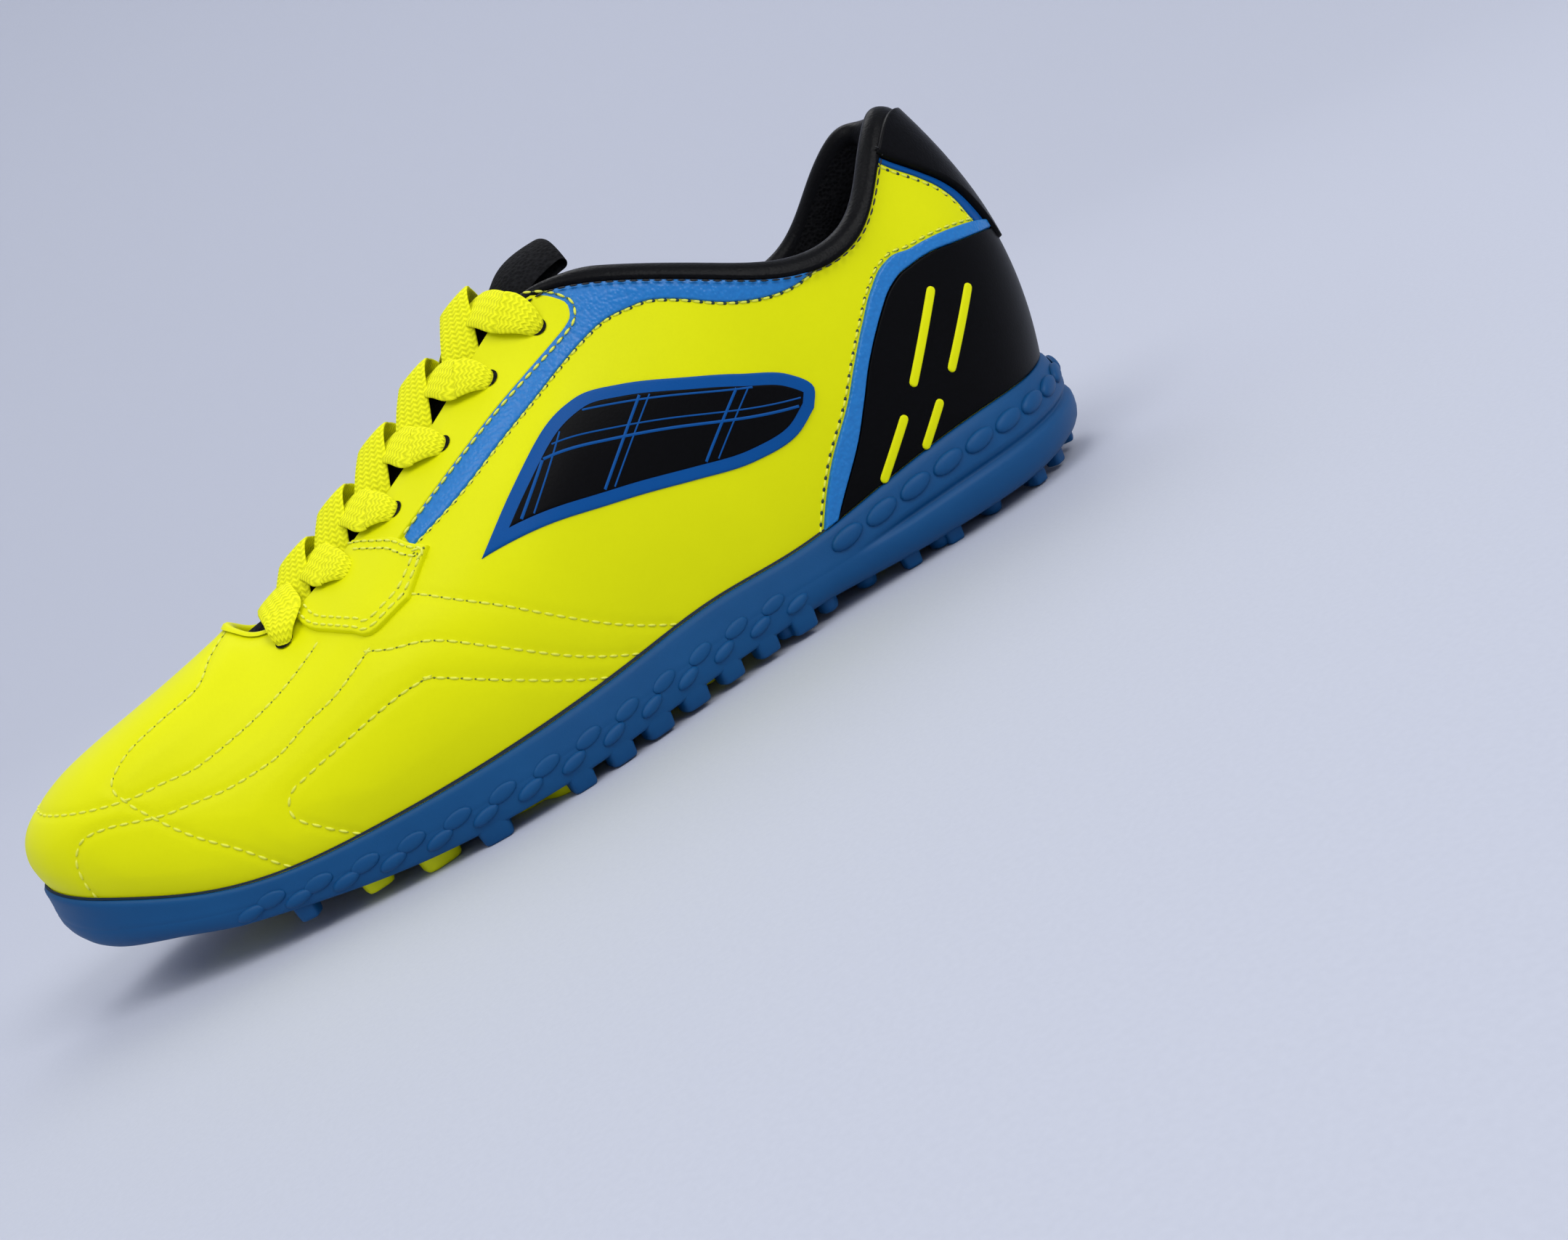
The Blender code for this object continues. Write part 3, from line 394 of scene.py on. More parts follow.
def rubber(name, colour, dusty, roughness):
    """Moulded rubber with a fine spark-eroded face."""
    shader = Shader(name)
    blotches = shader.noise(60.0, 4.0)
    fine = shader.noise(2600.0, 3.0)
    base = shader.mix((blotches - 0.4) * 0.8, colour, dusty)
    relief = shader.bump(fine, 0.00008, 0.35)
    gloss = roughness + (blotches - 0.5) * 0.15
    return shader.finish({"Base Color": base, "Roughness": gloss, "Normal": relief,
                          "Specular IOR Level": 0.22})


def mesh_cloth(name, colour, pale):
    """Close-knit padded cloth, darker in the dips between its raised loops as painted shade."""
    shader = Shader(name)
    loops = shader.cells(1100.0)
    fine = shader.noise(2400.0)
    # Paler on the raised loops and darker in the dips: painted shade, following the relief
    base = shader.mix(loops * 1.2, colour, pale)
    relief = shader.bump(loops, 0.0003, 0.7)
    gloss = 0.78 + (fine - 0.5) * 0.2
    return shader.finish({"Base Color": base, "Roughness": gloss, "Normal": relief,
                          "Specular IOR Level": 0.08})


def braid(name, colour, deep):
    """Flat braid: slanted strands that meet along the lace's middle, with the grooves between the strands
    painted darker as shade.
    """
    shader = Shader(name)
    along = shader.attribute("along")
    across = shader.attribute("across")
    wale = (across * 2.5).pingpong(0.5) * 2.0
    strands = (along * 4700.0 + wale * 3.4).sine()
    weave = strands * 0.6 + wale * 0.5
    fuzz = shader.noise(3600.0, 3.0)
    # Darker where the weave is low: painted shade in the grooves between the strands
    base = shader.mix(0.40 - weave * 0.42 + (fuzz - 0.5) * 0.6, colour, deep)
    relief = shader.bump(weave + fuzz * 0.9, 0.00018, 0.8)
    return shader.finish({"Base Color": base, "Roughness": 0.80, "Normal": relief,
                          "Specular IOR Level": 0.12})


def thread(name, colour):
    """Twisted sewing thread."""
    shader = Shader(name)
    twist = shader.noise(6000.0)
    base = shader.mix(twist * 0.6, colour, tuple(0.6 * c for c in colour))
    return shader.finish({"Base Color": base, "Roughness": 0.6})


NEON_LEATHER = smooth_leather("neon_leather", NEON, NEON_DEEP, 0.48, 0.10)
BLUE_LEATHER = pebbled_leather("blue_leather", BLUE, BLUE_PALE, 0.34, 0.0009, 0.00022, 0.34)
BLACK_FILM = smooth_leather("black_film", BLACK, BLACK_PALER, 0.40, 0.06)
BLACK_LEATHER = pebbled_leather("black_leather", BLACK, BLACK_PALER, 0.36, 0.0006, 0.00007, 0.07)
BLUE_LINE = smooth_leather("blue_line", (0.001, 0.075, 0.280), (0.001, 0.062, 0.240), 0.42, 0.10)
BLACK_CLOTH = mesh_cloth("black_cloth", BLACK, (0.009, 0.009, 0.010))
BLUE_RUBBER = rubber("blue_rubber", (0.001, 0.062, 0.184), (0.004, 0.086, 0.234), 0.50)
NEON_RUBBER = rubber("neon_rubber", (0.70, 0.74, 0.001), (0.62, 0.66, 0.001), 0.46)
# Darker neon painted as the shade in the cuts of the insert's studs and in the dimples of the pods
NEON_PAINTED_SHADE = rubber("painted_neon_shade", (0.30, 0.32, 0.001), (0.24, 0.26, 0.001), 0.60)
# Dark rubber painted as shadow: in the thin gap where the upper meets the sole, and round the insert and the
# pods
PAINTED_SHADOW = rubber("painted_shadow", (0.002, 0.012, 0.030), (0.002, 0.016, 0.040), 0.60)
# The lace's second colour is the painted shade between the braid's strands
LACE_BRAID = braid("lace_braid", (0.97, 0.97, 0.012), (0.52, 0.54, 0.003))
NEON_THREAD = thread("neon_thread", (0.88, 0.90, 0.07))
# Small dark blobs painted as the shade in the needle holes: olive on the neon leather, darker along the blue
# and black borders
HOLE_SHADE = thread("painted_hole_shade", (0.16, 0.20, 0.004))
DARK_HOLE_SHADE = thread("dark_painted_hole_shade", (0.004, 0.035, 0.028))
BLACK_THREAD = thread("black_thread", (0.006, 0.006, 0.007))


# Meshes
def linked(name, data):
    """An object in the scene from its mesh, light or camera."""
    piece = bpy.data.objects.new(name, data)
    bpy.context.scene.collection.objects.link(piece)
    return piece


def grid_piece(name, points, material, closed=False, toward=None, fields=None):
    """A sheet over a grid of points, facing toward or else away from the grid's middle."""
    points = np.asarray(points, float)
    rows, across = points.shape[:2]
    flat = points.reshape(-1, 3)
    count = rows if closed else rows - 1
    i, j = np.meshgrid(np.arange(count), np.arange(across - 1), indexing="ij")
    here = i * across + j
    there = ((i + 1) % rows) * across + j
    faces = np.stack([here, here + 1, there + 1, there], axis=-1).reshape(-1, 4)
    corner = flat[faces]
    normal = np.cross(corner[:, 2] - corner[:, 0], corner[:, 3] - corner[:, 1])
    want = np.asarray(toward, float).reshape(-1, 3)[faces[:, 0]] if toward is not None \
        else corner.mean(1) - flat.mean(0)
    if np.sum(normal * want) < 0:
        faces = faces[:, ::-1]
    mesh = bpy.data.meshes.new(name)
    mesh.from_pydata(flat.tolist(), [], faces.tolist())
    for key, field in (fields or {}).items():
        layer = mesh.attributes.new(key, "FLOAT", "POINT")
        layer.data.foreach_set("value", np.asarray(field, np.float32).ravel())
    mesh.shade_smooth()
    mesh.materials.append(material)
    piece = linked(name, mesh)
    return piece


def placed(piece, *replaced):
    """Gives a finished piece to the shoe."""
    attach(piece, "root")
    if replaced:
        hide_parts(*replaced)
    return piece


# Lines on the upper, and about how many metres one step of u and of v is there
METRIC = np.array([0.018, 0.070])


def evenly(line, count):
    """count points along a line of (u, v) places, evenly by length."""
    length = np.r_[0, np.cumsum(np.linalg.norm(np.diff(line * METRIC, axis=0), axis=1))]
    at = np.linspace(0, length[-1], count)
    return np.column_stack([np.interp(at, length, line[:, k]) for k in (0, 1)])


def traced(points, count=300):
    """A smooth line through given (u, v) places. A place given twice is a corner."""
    points = np.array(points, float)
    breaks = [k for k in range(1, len(points)) if np.allclose(points[k], points[k - 1])]
    pieces = []
    for low, high in zip([0] + breaks, breaks + [len(points)]):
        part = points[low:high]
        knots = np.r_[0, np.cumsum(np.linalg.norm(np.diff(part * METRIC, axis=0), axis=1))]
        slope = np.gradient(part, knots, axis=0) if len(part) > 2 else \
            np.repeat((part[1:] - part[:1]) / knots[1], 2, axis=0)
        at = np.linspace(0, knots[-1], 30 * len(part))
        k = np.clip(np.searchsorted(knots, at, side="right") - 1, 0, len(part) - 2)
        span = (knots[k + 1] - knots[k])[:, None]
        t = (at - knots[k])[:, None] / span
        pieces.append(curve(t, part[k], slope[k] * span, part[k + 1], slope[k + 1] * span))
    return evenly(np.vstack(pieces), count)


def beside(line, distance):
    """The line moved sideways over the upper, to its left seen from outside."""
    along, across, normal = directions(line[:, 0], line[:, 1])
    tangent = np.gradient(rib(line[:, 0], line[:, 1]), axis=0)
    side = np.cross(normal, tangent)
    side *= np.broadcast_to(distance, len(line)).reshape(-1, 1) / np.linalg.norm(side, axis=1)[:, None]
    aa, ac, cc = (np.sum(p * q, axis=1) for p, q in ((along, along), (along, across), (across, across)))
    sa, sc = np.sum(side * along, axis=1), np.sum(side * across, axis=1)
    scale = aa * cc - ac * ac
    return line + np.column_stack([(cc * sa - ac * sc) / scale, (aa * sc - ac * sa) / scale])


def on_side(line, side):
    """A lateral line as it is, or its mirror image on the medial side."""
    line = np.asarray(line, float)
    return line if side < 0 else np.column_stack([AROUND - line[:, 0], line[:, 1]])


SIDES = ((-1, "lateral"), (1, "medial"))

# Stitched lines of the vamp and quarter, from the throat or tip to the sole
VAMP_SEAMS = {
    "vamp_loop": ((15.20, 0.985), (14.90, 0.92), (14.40, 0.79), (14.62, 0.69), (14.71, 0.59),
                  (14.65, 0.53), (14.51, 0.46), (14.09, 0.39), (13.62, 0.33), (12.98, 0.23),
                  (12.39, 0.12), (12.00, 0.01)),
    "vamp_upper_line": ((11.95, 0.74), (12.34, 0.66), (12.59, 0.62), (12.95, 0.56), (13.31, 0.49),
                        (13.68, 0.45), (13.95, 0.41), (14.29, 0.38), (14.68, 0.36), (14.96, 0.35),
                        (15.55, 0.335), (16.00, 0.34)),
    "vamp_middle_line": ((10.91, 0.49), (11.30, 0.44), (11.64, 0.43), (11.97, 0.39), (12.31, 0.38),
                         (12.64, 0.37), (13.06, 0.36), (13.45, 0.33), (13.87, 0.31), (14.21, 0.29),
                         (14.48, 0.25), (14.54, 0.18), (14.51, 0.09), (14.48, 0.01)),
    "vamp_lower_line": ((10.08, 0.27), (10.33, 0.28), (10.72, 0.28), (11.11, 0.27), (11.50, 0.255),
                        (11.75, 0.23), (11.76, 0.17), (11.47, 0.08), (11.17, 0.01)),
    "quarter_line": ((10.38, 0.53), (9.74, 0.39), (9.02, 0.26), (8.32, 0.15), (7.48, 0.01)),
    "quarter_middle_line": ((10.91, 0.49), (10.58, 0.43), (10.16, 0.37), (9.38, 0.23), (8.71, 0.12),
                            (7.96, 0.01)),
    "quarter_low_line": ((10.08, 0.27), (9.41, 0.16), (8.79, 0.07), (8.35, 0.01)),
}

# Panels' edges
BAND_TOP = ((4.40, 1.00), (5.00, 0.995), (6.00, 0.995), (7.00, 0.995), (7.80, 0.990), (8.40, 0.975),
            (8.70, 0.885), (9.10, 0.836), (9.60, 0.817), (10.00, 0.808), (10.40, 0.784), (10.64, 0.748))
BAND_FOOT = ((4.40, 1.00), (4.80, 0.975), (5.17, 0.93), (5.56, 0.90), (5.95, 0.89), (6.51, 0.905),
             (6.81, 0.905), (7.20, 0.88), (7.54, 0.855), (8.01, 0.81), (8.60, 0.755), (9.02, 0.72),
             (9.52, 0.692), (9.80, 0.677), (10.16, 0.673), (10.50, 0.680))
EYESTAY_FOOT = ((8.57, 0.985), (8.18, 0.945), (8.03, 0.915), (8.08, 0.88), (8.25, 0.852), (8.46, 0.832),
                (9.05, 0.798), (9.52, 0.790), (9.94, 0.783), (10.38, 0.770), (10.75, 0.755))
EYESTAY_TOP = ((8.60, 0.997), (9.20, 0.997), (9.80, 0.997), (10.60, 0.997), (11.60, 0.997))
PATCH_TOP = ((11.44, 0.997), (11.08, 0.87), (10.78, 0.775), (10.50, 0.68), (10.24, 0.61))
PATCH_FOOT = ((12.45, 0.997), (12.20, 0.88), (11.64, 0.72), (11.20, 0.61), (10.86, 0.535), (10.44, 0.535))
COUNTER_EDGE = ((5.66, 0.0), (5.31, 0.21), (4.94, 0.39), (4.72, 0.53), (4.47, 0.66), (4.20, 0.755),
                (3.95, 0.79), (3.70, 0.775), (3.24, 0.69), (2.35, 0.58), (1.60, 0.52), (1.10, 0.49))
COUNTER_INNER = ((5.48, 0.0), (4.94, 0.23), (4.74, 0.36), (4.55, 0.49), (4.36, 0.58), (4.16, 0.645),
                 (3.95, 0.685), (3.68, 0.685), (3.38, 0.65), (2.90, 0.59), (2.38, 0.53), (1.60, 0.475),
                 (1.10, 0.455))
TAB_EDGE = ((2.88, 1.00), (2.60, 0.91), (2.10, 0.78), (1.75, 0.70), (1.50, 0.635), (1.30, 0.56),
            (1.10, 0.47))
TAB_LINE = ((2.96, 1.00), (2.69, 0.905), (2.21, 0.775), (1.89, 0.69), (1.70, 0.62), (1.60, 0.55),
            (1.50, 0.49))
BARS = (((3.21, 0.51), (4.08, 0.27)), ((2.55, 0.39), (3.49, 0.20)), ((4.30, 0.19), (4.86, 0.005)),
        ((3.77, 0.14), (4.22, 0.005)))
BAR_WIDTH = 0.0024
BADGE_FOOT = ((9.52, 0.44), (9.10, 0.42), (8.40, 0.395), (7.60, 0.37), (6.80, 0.345), (6.10, 0.34),
              (5.60, 0.37), (5.34, 0.44))
BADGE_TOP = ((9.52, 0.44), (9.22, 0.55), (8.85, 0.635), (8.40, 0.665), (7.60, 0.665), (6.80, 0.65),
             (6.10, 0.635), (5.55, 0.60), (5.28, 0.52), (5.34, 0.44))
BADGE_BORDER = 0.0030
LATTICE = (
    ((9.20, 0.40), (8.55, 0.70), 0.0008), ((9.03, 0.40), (8.42, 0.70), 0.0005),
    ((9.40, 0.575), (5.00, 0.455), 0.0008), ((9.40, 0.600), (5.00, 0.485), 0.0005),
    ((8.15, 0.36), (7.12, 0.70), 0.0008), ((8.00, 0.36), (6.97, 0.70), 0.0005),
    ((6.82, 0.33), (5.93, 0.68), 0.0008), ((6.67, 0.33), (5.78, 0.68), 0.0005),
    ((8.60, 0.635), (5.00, 0.560), 0.0006),
)


def seam_lines():
    """Every stitched line of one side, by name: its places and whether its needle holes get the darker
    painted shade.
    """
    lines = {name: (traced(points), False) for name, points in VAMP_SEAMS.items()}
    band = traced(BAND_FOOT)
    lines["band_seam"] = (beside(band, 0.0003), True)
    lines["strip_seam"] = (beside(traced(EYESTAY_FOOT), 0.0009)[:-12], False)
    counter = traced(COUNTER_EDGE)
    lines["counter_seam"] = (beside(counter, 0.0008), True)
    lines["tab_seam"] = (beside(traced(TAB_LINE), -0.0008)[:-25], True)
    patch = np.vstack([traced(PATCH_TOP, 200), traced(PATCH_FOOT, 200)[::-1]])
    lines["patch_seam"] = (beside(patch, -0.0004), False)
    lines["patch_inner_seam"] = (beside(evenly(patch, 300), -0.0024)[14:-14], False)
    return lines


SEAMS = {(name, side): (on_side(line, side), dark)
         for name, (line, dark) in seam_lines().items() for side, _ in SIDES}
GROOVED = tuple(VAMP_SEAMS)


def seam_tree():
    points = np.vstack([skin(*line.T) for (name, _), (line, _) in SEAMS.items() if name in GROOVED])
    tree = KDTree(len(points))
    for k, point in enumerate(points):
        tree.insert(point, k)
    tree.balance()
    return tree


GROOVES = seam_tree()
GROOVE_DEPTH = 0.00030
GROOVE_WIDTH = 0.0011
QUILT_RISE = 0.00045
QUILT_WIDTH = 0.0070


def relief(u, v):
    """How far the leather stands out: padded between its seams and drawn in along them."""
    u = np.atleast_1d(np.asarray(u, float))
    v = np.atleast_1d(np.asarray(v, float)) * np.ones_like(u)
    away = np.array([GROOVES.find(point)[2] for point in rib(u, v)])
    front = np.clip((np.minimum(u, AROUND - u) - 7.2) / 3.0, 0.0, 1.0)
    edge = np.clip(np.minimum(v / 0.10, (1 - v) / 0.06), 0.0, 1.0)
    quilt = QUILT_RISE * (1 - np.exp(-(away / QUILT_WIDTH) ** 2)) * front * edge
    return quilt - GROOVE_DEPTH * np.exp(-(away / GROOVE_WIDTH) ** 2)


def make_upper():
    """The lasted shell of smooth neon leather, whole under its panels."""
    u = np.arange(640) * AROUND / 640
    levels = np.linspace(0.0, 1.0, 92)
    columns = []
    low = np.column_stack([outline(u, feather_inset(u)), lip_height(u) - 0.003])
    columns.append(low)
    for v in levels:
        columns.append(skin(u, v, relief(u, v)))
    points = np.stack(columns, axis=1)
    return grid_piece("upper_shell", points, NEON_LEATHER, closed=True)


EDGE_ROUND = 0.00055


def ends_close(length, spacing):
    """Places along a length, close together near both ends."""
    near = np.array([0.0, 0.0001, 0.00025, 0.00045, 0.0008]) * min(1.0, 0.4 * length / 0.0008)
    inner = np.linspace(near[-1], length - near[-1], max(3, int(length / spacing)))[1:-1]
    return np.concatenate([near, inner, length - near[::-1]])


def panel(name, near, far, rise, material, side=-1, base=0.0, spacing=0.0012, crown=0.0):
    """A panel between two lines on the upper, with rounded edges let into the surface."""
    near = traced(near) if len(near) < 100 else np.asarray(near)
    far = traced(far) if len(far) < 100 else np.asarray(far)
    near, far = on_side(near, side), on_side(far, side)
    middle = rib(*((near + far) / 2).T)
    length = np.linalg.norm(np.diff(middle, axis=0), axis=1).sum()
    along = ends_close(length, spacing)
    at = np.linspace(0, length, len(near))
    low = np.column_stack([np.interp(along, at, near[:, k]) for k in (0, 1)])
    high = np.column_stack([np.interp(along, at, far[:, k]) for k in (0, 1)])
    width = np.linalg.norm(rib(*high.T) - rib(*low.T), axis=1)
    across = ends_close(max(width.max(), 0.001), spacing)
    share = across[None, :] / across[-1]
    share = np.repeat(share, len(along), axis=0)
    for i, wide in enumerate(width):
        own = ends_close(max(wide, 0.0004), max(wide, 0.0004) / (len(across) - 7.5))
        if len(own) == len(across):
            share[i] = own / own[-1]
    place = low[:, None, :] + (high - low)[:, None, :] * share[:, :, None]
    gap = np.minimum(share, 1 - share) * width[:, None]
    gap = np.minimum(gap, np.minimum(along, length - along)[:, None])
    t = np.clip(gap / EDGE_ROUND, 0.0, 1.0)
    rounding = np.sqrt(1 - (1 - t) ** 2)
    height = -0.0001 + (rise + 0.0001) * rounding + crown * np.sin(np.pi * share) * rounding
    u, v = place[..., 0].ravel(), place[..., 1].ravel()
    offset = relief(u, v) + base + height.ravel()
    normal = directions(u, v)[2]
    points = (rib(u, v) + normal * offset[:, None]).reshape(*share.shape, 3)
    return grid_piece(name, points, material, toward=normal)


def round_ended(line, width):
    """The two edges of a bar of that width with round ends."""
    length = np.linalg.norm(np.diff(rib(*line.T), axis=0), axis=1).sum()
    at = np.linspace(0, length, len(line))
    near_end = np.clip(np.minimum(at, length - at) / (width / 2), 0.0, 1.0)
    half = width / 2 * np.sqrt(np.maximum(1 - (1 - near_end) ** 2, 0.004))
    return beside(line, half), beside(line, -half)


# Stitches
def joined(tree, *links):
    """Links the nodes of a tree: each link names an output of one node and an input of another."""
    for start, leaving, end, entering in links:
        tree.links.new(start.outputs[leaving], end.inputs[entering])


def made_by(tree, carrier, name, wanted):
    """The plain mesh that a node tree makes from a carrier object, which is then removed."""
    modifier = carrier.modifiers.new(name, "NODES")
    modifier.node_group = tree
    for item in tree.interface.items_tree:
        if item.in_out == "INPUT" and item.name in wanted:
            modifier[item.identifier] = wanted[item.name]
    carrier.update_tag()
    bpy.context.view_layer.update()
    ready = carrier.evaluated_get(bpy.context.evaluated_depsgraph_get())
    made = bpy.data.meshes.new_from_object(ready)
    made.name = name
    bpy.data.objects.remove(carrier)
    piece = linked(name, made)
    return piece


def stitch_nodes():
    """A node tree that lays stitches along a chain of edges."""
    tree = bpy.data.node_groups.new("stitches", "GeometryNodeTree")
    face = tree.interface
    face.new_socket("Geometry", in_out="INPUT", socket_type="NodeSocketGeometry")
    for name in ("Pitch", "Length", "Thickness"):
        face.new_socket(name, in_out="INPUT", socket_type="NodeSocketFloat")
    face.new_socket("Thread", in_out="INPUT", socket_type="NodeSocketMaterial")
    face.new_socket("Geometry", in_out="OUTPUT", socket_type="NodeSocketGeometry")
    nodes = tree.nodes
    entry = nodes.new("NodeGroupInput")
    chain = nodes.new("GeometryNodeMeshToCurve")
    spaced = nodes.new("GeometryNodeResampleCurve")
    spaced.mode = "LENGTH"
    tangent = nodes.new("GeometryNodeInputTangent")
    turn = nodes.new("FunctionNodeAlignRotationToVector")
    turn.axis = "X"
    ball = nodes.new("GeometryNodeMeshUVSphere")
    ball.inputs["Segments"].default_value = 6
    ball.inputs["Rings"].default_value = 5
    ball.inputs["Radius"].default_value = 0.5
    size = nodes.new("ShaderNodeCombineXYZ")
    copies = nodes.new("GeometryNodeInstanceOnPoints")
    real = nodes.new("GeometryNodeRealizeInstances")
    painted = nodes.new("GeometryNodeSetMaterial")
    smooth = nodes.new("GeometryNodeSetShadeSmooth")
    leave = nodes.new("NodeGroupOutput")
    joined(tree, (entry, "Geometry", chain, "Mesh"), (chain, "Curve", spaced, "Curve"),
           (entry, "Pitch", spaced, "Length"), (spaced, "Curve", copies, "Points"),
           (ball, "Mesh", copies, "Instance"), (tangent, "Tangent", turn, "Vector"),
           (turn, "Rotation", copies, "Rotation"), (entry, "Length", size, "X"),
           (entry, "Thickness", size, "Y"), (entry, "Thickness", size, "Z"),
           (size, "Vector", copies, "Scale"), (copies, "Instances", real, "Geometry"),
           (real, "Geometry", smooth, "Geometry"), (smooth, "Geometry", painted, "Geometry"),
           (entry, "Thread", painted, "Material"), (painted, "Geometry", leave, "Geometry"))
    return tree


STITCH_TREE = stitch_nodes()


def stitched(name, chains, pitch, length, thickness, material):
    """Stitches along chains of points, as one plain mesh."""
    points, edges = [], []
    for chain in chains:
        first = len(points)
        points += [tuple(point) for point in chain]
        edges += [(first + k, first + k + 1) for k in range(len(chain) - 1)]
    mesh = bpy.data.meshes.new(name + "_path")
    mesh.from_pydata(points, edges, [])
    carrier = linked(name + "_path", mesh)
    wanted = {"Pitch": pitch, "Length": length, "Thickness": thickness, "Thread": material}
    return made_by(STITCH_TREE, carrier, name, wanted)


def make_stitches():
    """All the seams' threads, and dark marks painted as the shade in the needle holes between the stitches.
    """
    chains, holes, dark_holes = [], [], []
    for (name, side), (line, is_dark) in SEAMS.items():
        rise = PANEL_UNDER_SEAM.get(name.split("_")[0], 0.0)
        dense = evenly(line, 500)
        chain = skin(*dense.T, relief(*dense.T) + rise + 0.00008)
        chains.append(chain)
        length = np.r_[0, np.cumsum(np.linalg.norm(np.diff(chain, axis=0), axis=1))]
        begin = np.searchsorted(length, STITCH_PITCH / 2)
        # The needle holes' painted shade, sunk a little under the seam's line
        sunk = chain[begin:] - directions(*dense[begin:].T)[2] * 0.00012
        (dark_holes if is_dark else holes).append(sunk)
    placed(stitched("seams_neon_thread", chains, STITCH_PITCH, STITCH_LENGTH, THREAD, NEON_THREAD))
    placed(stitched("seams_needle_holes", holes, STITCH_PITCH, 0.0008, 0.0005, HOLE_SHADE))
    placed(stitched("border_needle_holes", dark_holes, STITCH_PITCH, 0.0013, 0.0008, DARK_HOLE_SHADE))
    tab = [beside(traced(TAB_EDGE), 0.0016)[4:-40] * (side, 1) for side in (1, -1)]
    rim = np.column_stack([np.linspace(-8.6, 8.6, 900), np.full(900, 0.968)])
    black = [skin(*line.T, COUNTER_RISE + 0.0003) for line in tab] + [skin(*rim.T, 0.0013)]
    placed(stitched("collar_black_thread", black, STITCH_PITCH, 0.0022, 0.0005, BLACK_THREAD))


def straight_bar(start, end, count=60):
    """A line between two places that looks straight from the side."""
    level = np.linspace(start[1], end[1], count)
    first, last = rib(*start)[0], rib(*end)[0]
    line = []
    for v in level:
        near = np.linspace(min(start[0], end[0]) - 0.6, max(start[0], end[0]) + 0.6, 200)
        points = rib(near, v)
        aside = ((points[:, 0] - first[0]) * (last[2] - first[2])
                 - (points[:, 2] - first[2]) * (last[0] - first[0]))
        order = np.argsort(aside)
        line.append((np.interp(0.0, aside[order], near[order]), v))
    return np.array(line)


def make_panels():
    """The overlays of each side: collar strip, eyestay, lace patch, counter border, tab line and bars."""
    for side, name in SIDES:
        placed(panel("collar_strip_" + name, BAND_FOOT, BAND_TOP, FILM, BLUE_LEATHER, side,
                     crown=0.0003), "collar_band_" + name)
        placed(panel("eyestay_panel_" + name, EYESTAY_FOOT, EYESTAY_TOP, EYESTAY_RISE, NEON_LEATHER,
                     side), "eyestay_" + name)
        placed(panel("lace_patch_" + name, beside(traced(PATCH_FOOT), -0.0009),
                     beside(traced(PATCH_TOP), 0.0009), PATCH_RISE, NEON_LEATHER, side))
        placed(panel("counter_border_" + name, COUNTER_EDGE, COUNTER_INNER, COUNTER_RISE, BLUE_LEATHER,
                     side))
        placed(panel("tab_line_" + name, TAB_LINE, TAB_EDGE, FILM, BLUE_LINE, side))
        for k, ends in enumerate(BARS):
            near, far = round_ended(evenly(straight_bar(*ends), 200), BAR_WIDTH)
            placed(panel("counter_bar_%d_%s" % (k + 1, name), near, far, BAR_RISE, NEON_LEATHER,
                         side, base=COUNTER_RISE, spacing=0.0008))


def make_counter():
    """The black heel counter, from border to border round the heel."""
    half = traced(COUNTER_INNER, 200)
    top = np.vstack([half, [(0.55, 0.452), (0.0, 0.45), (-0.55, 0.452)], half[::-1] * (-1, 1)])
    foot = traced(((5.55, 0.0), (0.0, 0.0)), 200)
    foot = np.vstack([foot, foot[::-1] * (-1, 1)])
    placed(panel("counter_panel", evenly(foot, 400), evenly(top, 400), COUNTER_RISE - 0.0001,
                 BLACK_FILM, spacing=0.0016), "heel_counter")


def make_tab():
    """The black tab over the back of the heel."""
    edge = np.vstack([traced(TAB_EDGE, 200), traced(((1.10, 0.47), (1.02, 0.43), (0.86, 0.402)), 60)[1:]])
    placed(panel("heel_tab", evenly(edge, 300), evenly(edge * (-1, 1), 300), TAB_RISE, BLACK_LEATHER,
                 base=0.0002))


def within(line, ring):
    """Which places of a line lie inside a closed ring of places."""
    ends = np.roll(ring, -1, axis=0)
    inside = np.zeros(len(line), bool)
    for k, (u, v) in enumerate(line):
        spans = (ring[:, 1] > v) != (ends[:, 1] > v)
        crossing = ring[spans, 0] + (v - ring[spans, 1]) / (ends - ring)[spans, 1] * (ends - ring)[spans, 0]
        inside[k] = np.sum(crossing > u) % 2
    return inside


def drawn_in(ring, distance, split):
    """The ring moved inward, without loops, as its lines before and after the split."""
    inner = beside(np.vstack([ring[-3:], ring, ring[:3]]), distance)[3:-3]
    outer = rib(*ring.T)
    keep = [k for k, point in enumerate(rib(*inner.T))
            if np.linalg.norm(outer - point, axis=1).min() > 0.97 * distance]
    first = inner[[k for k in keep if k < split]]
    second = inner[[k for k in keep if k >= split]][::-1]
    tip, end = (first[0] + second[0]) / 2, (first[-1] + second[-1]) / 2
    return np.vstack([tip, first, end]), np.vstack([tip, second, end])


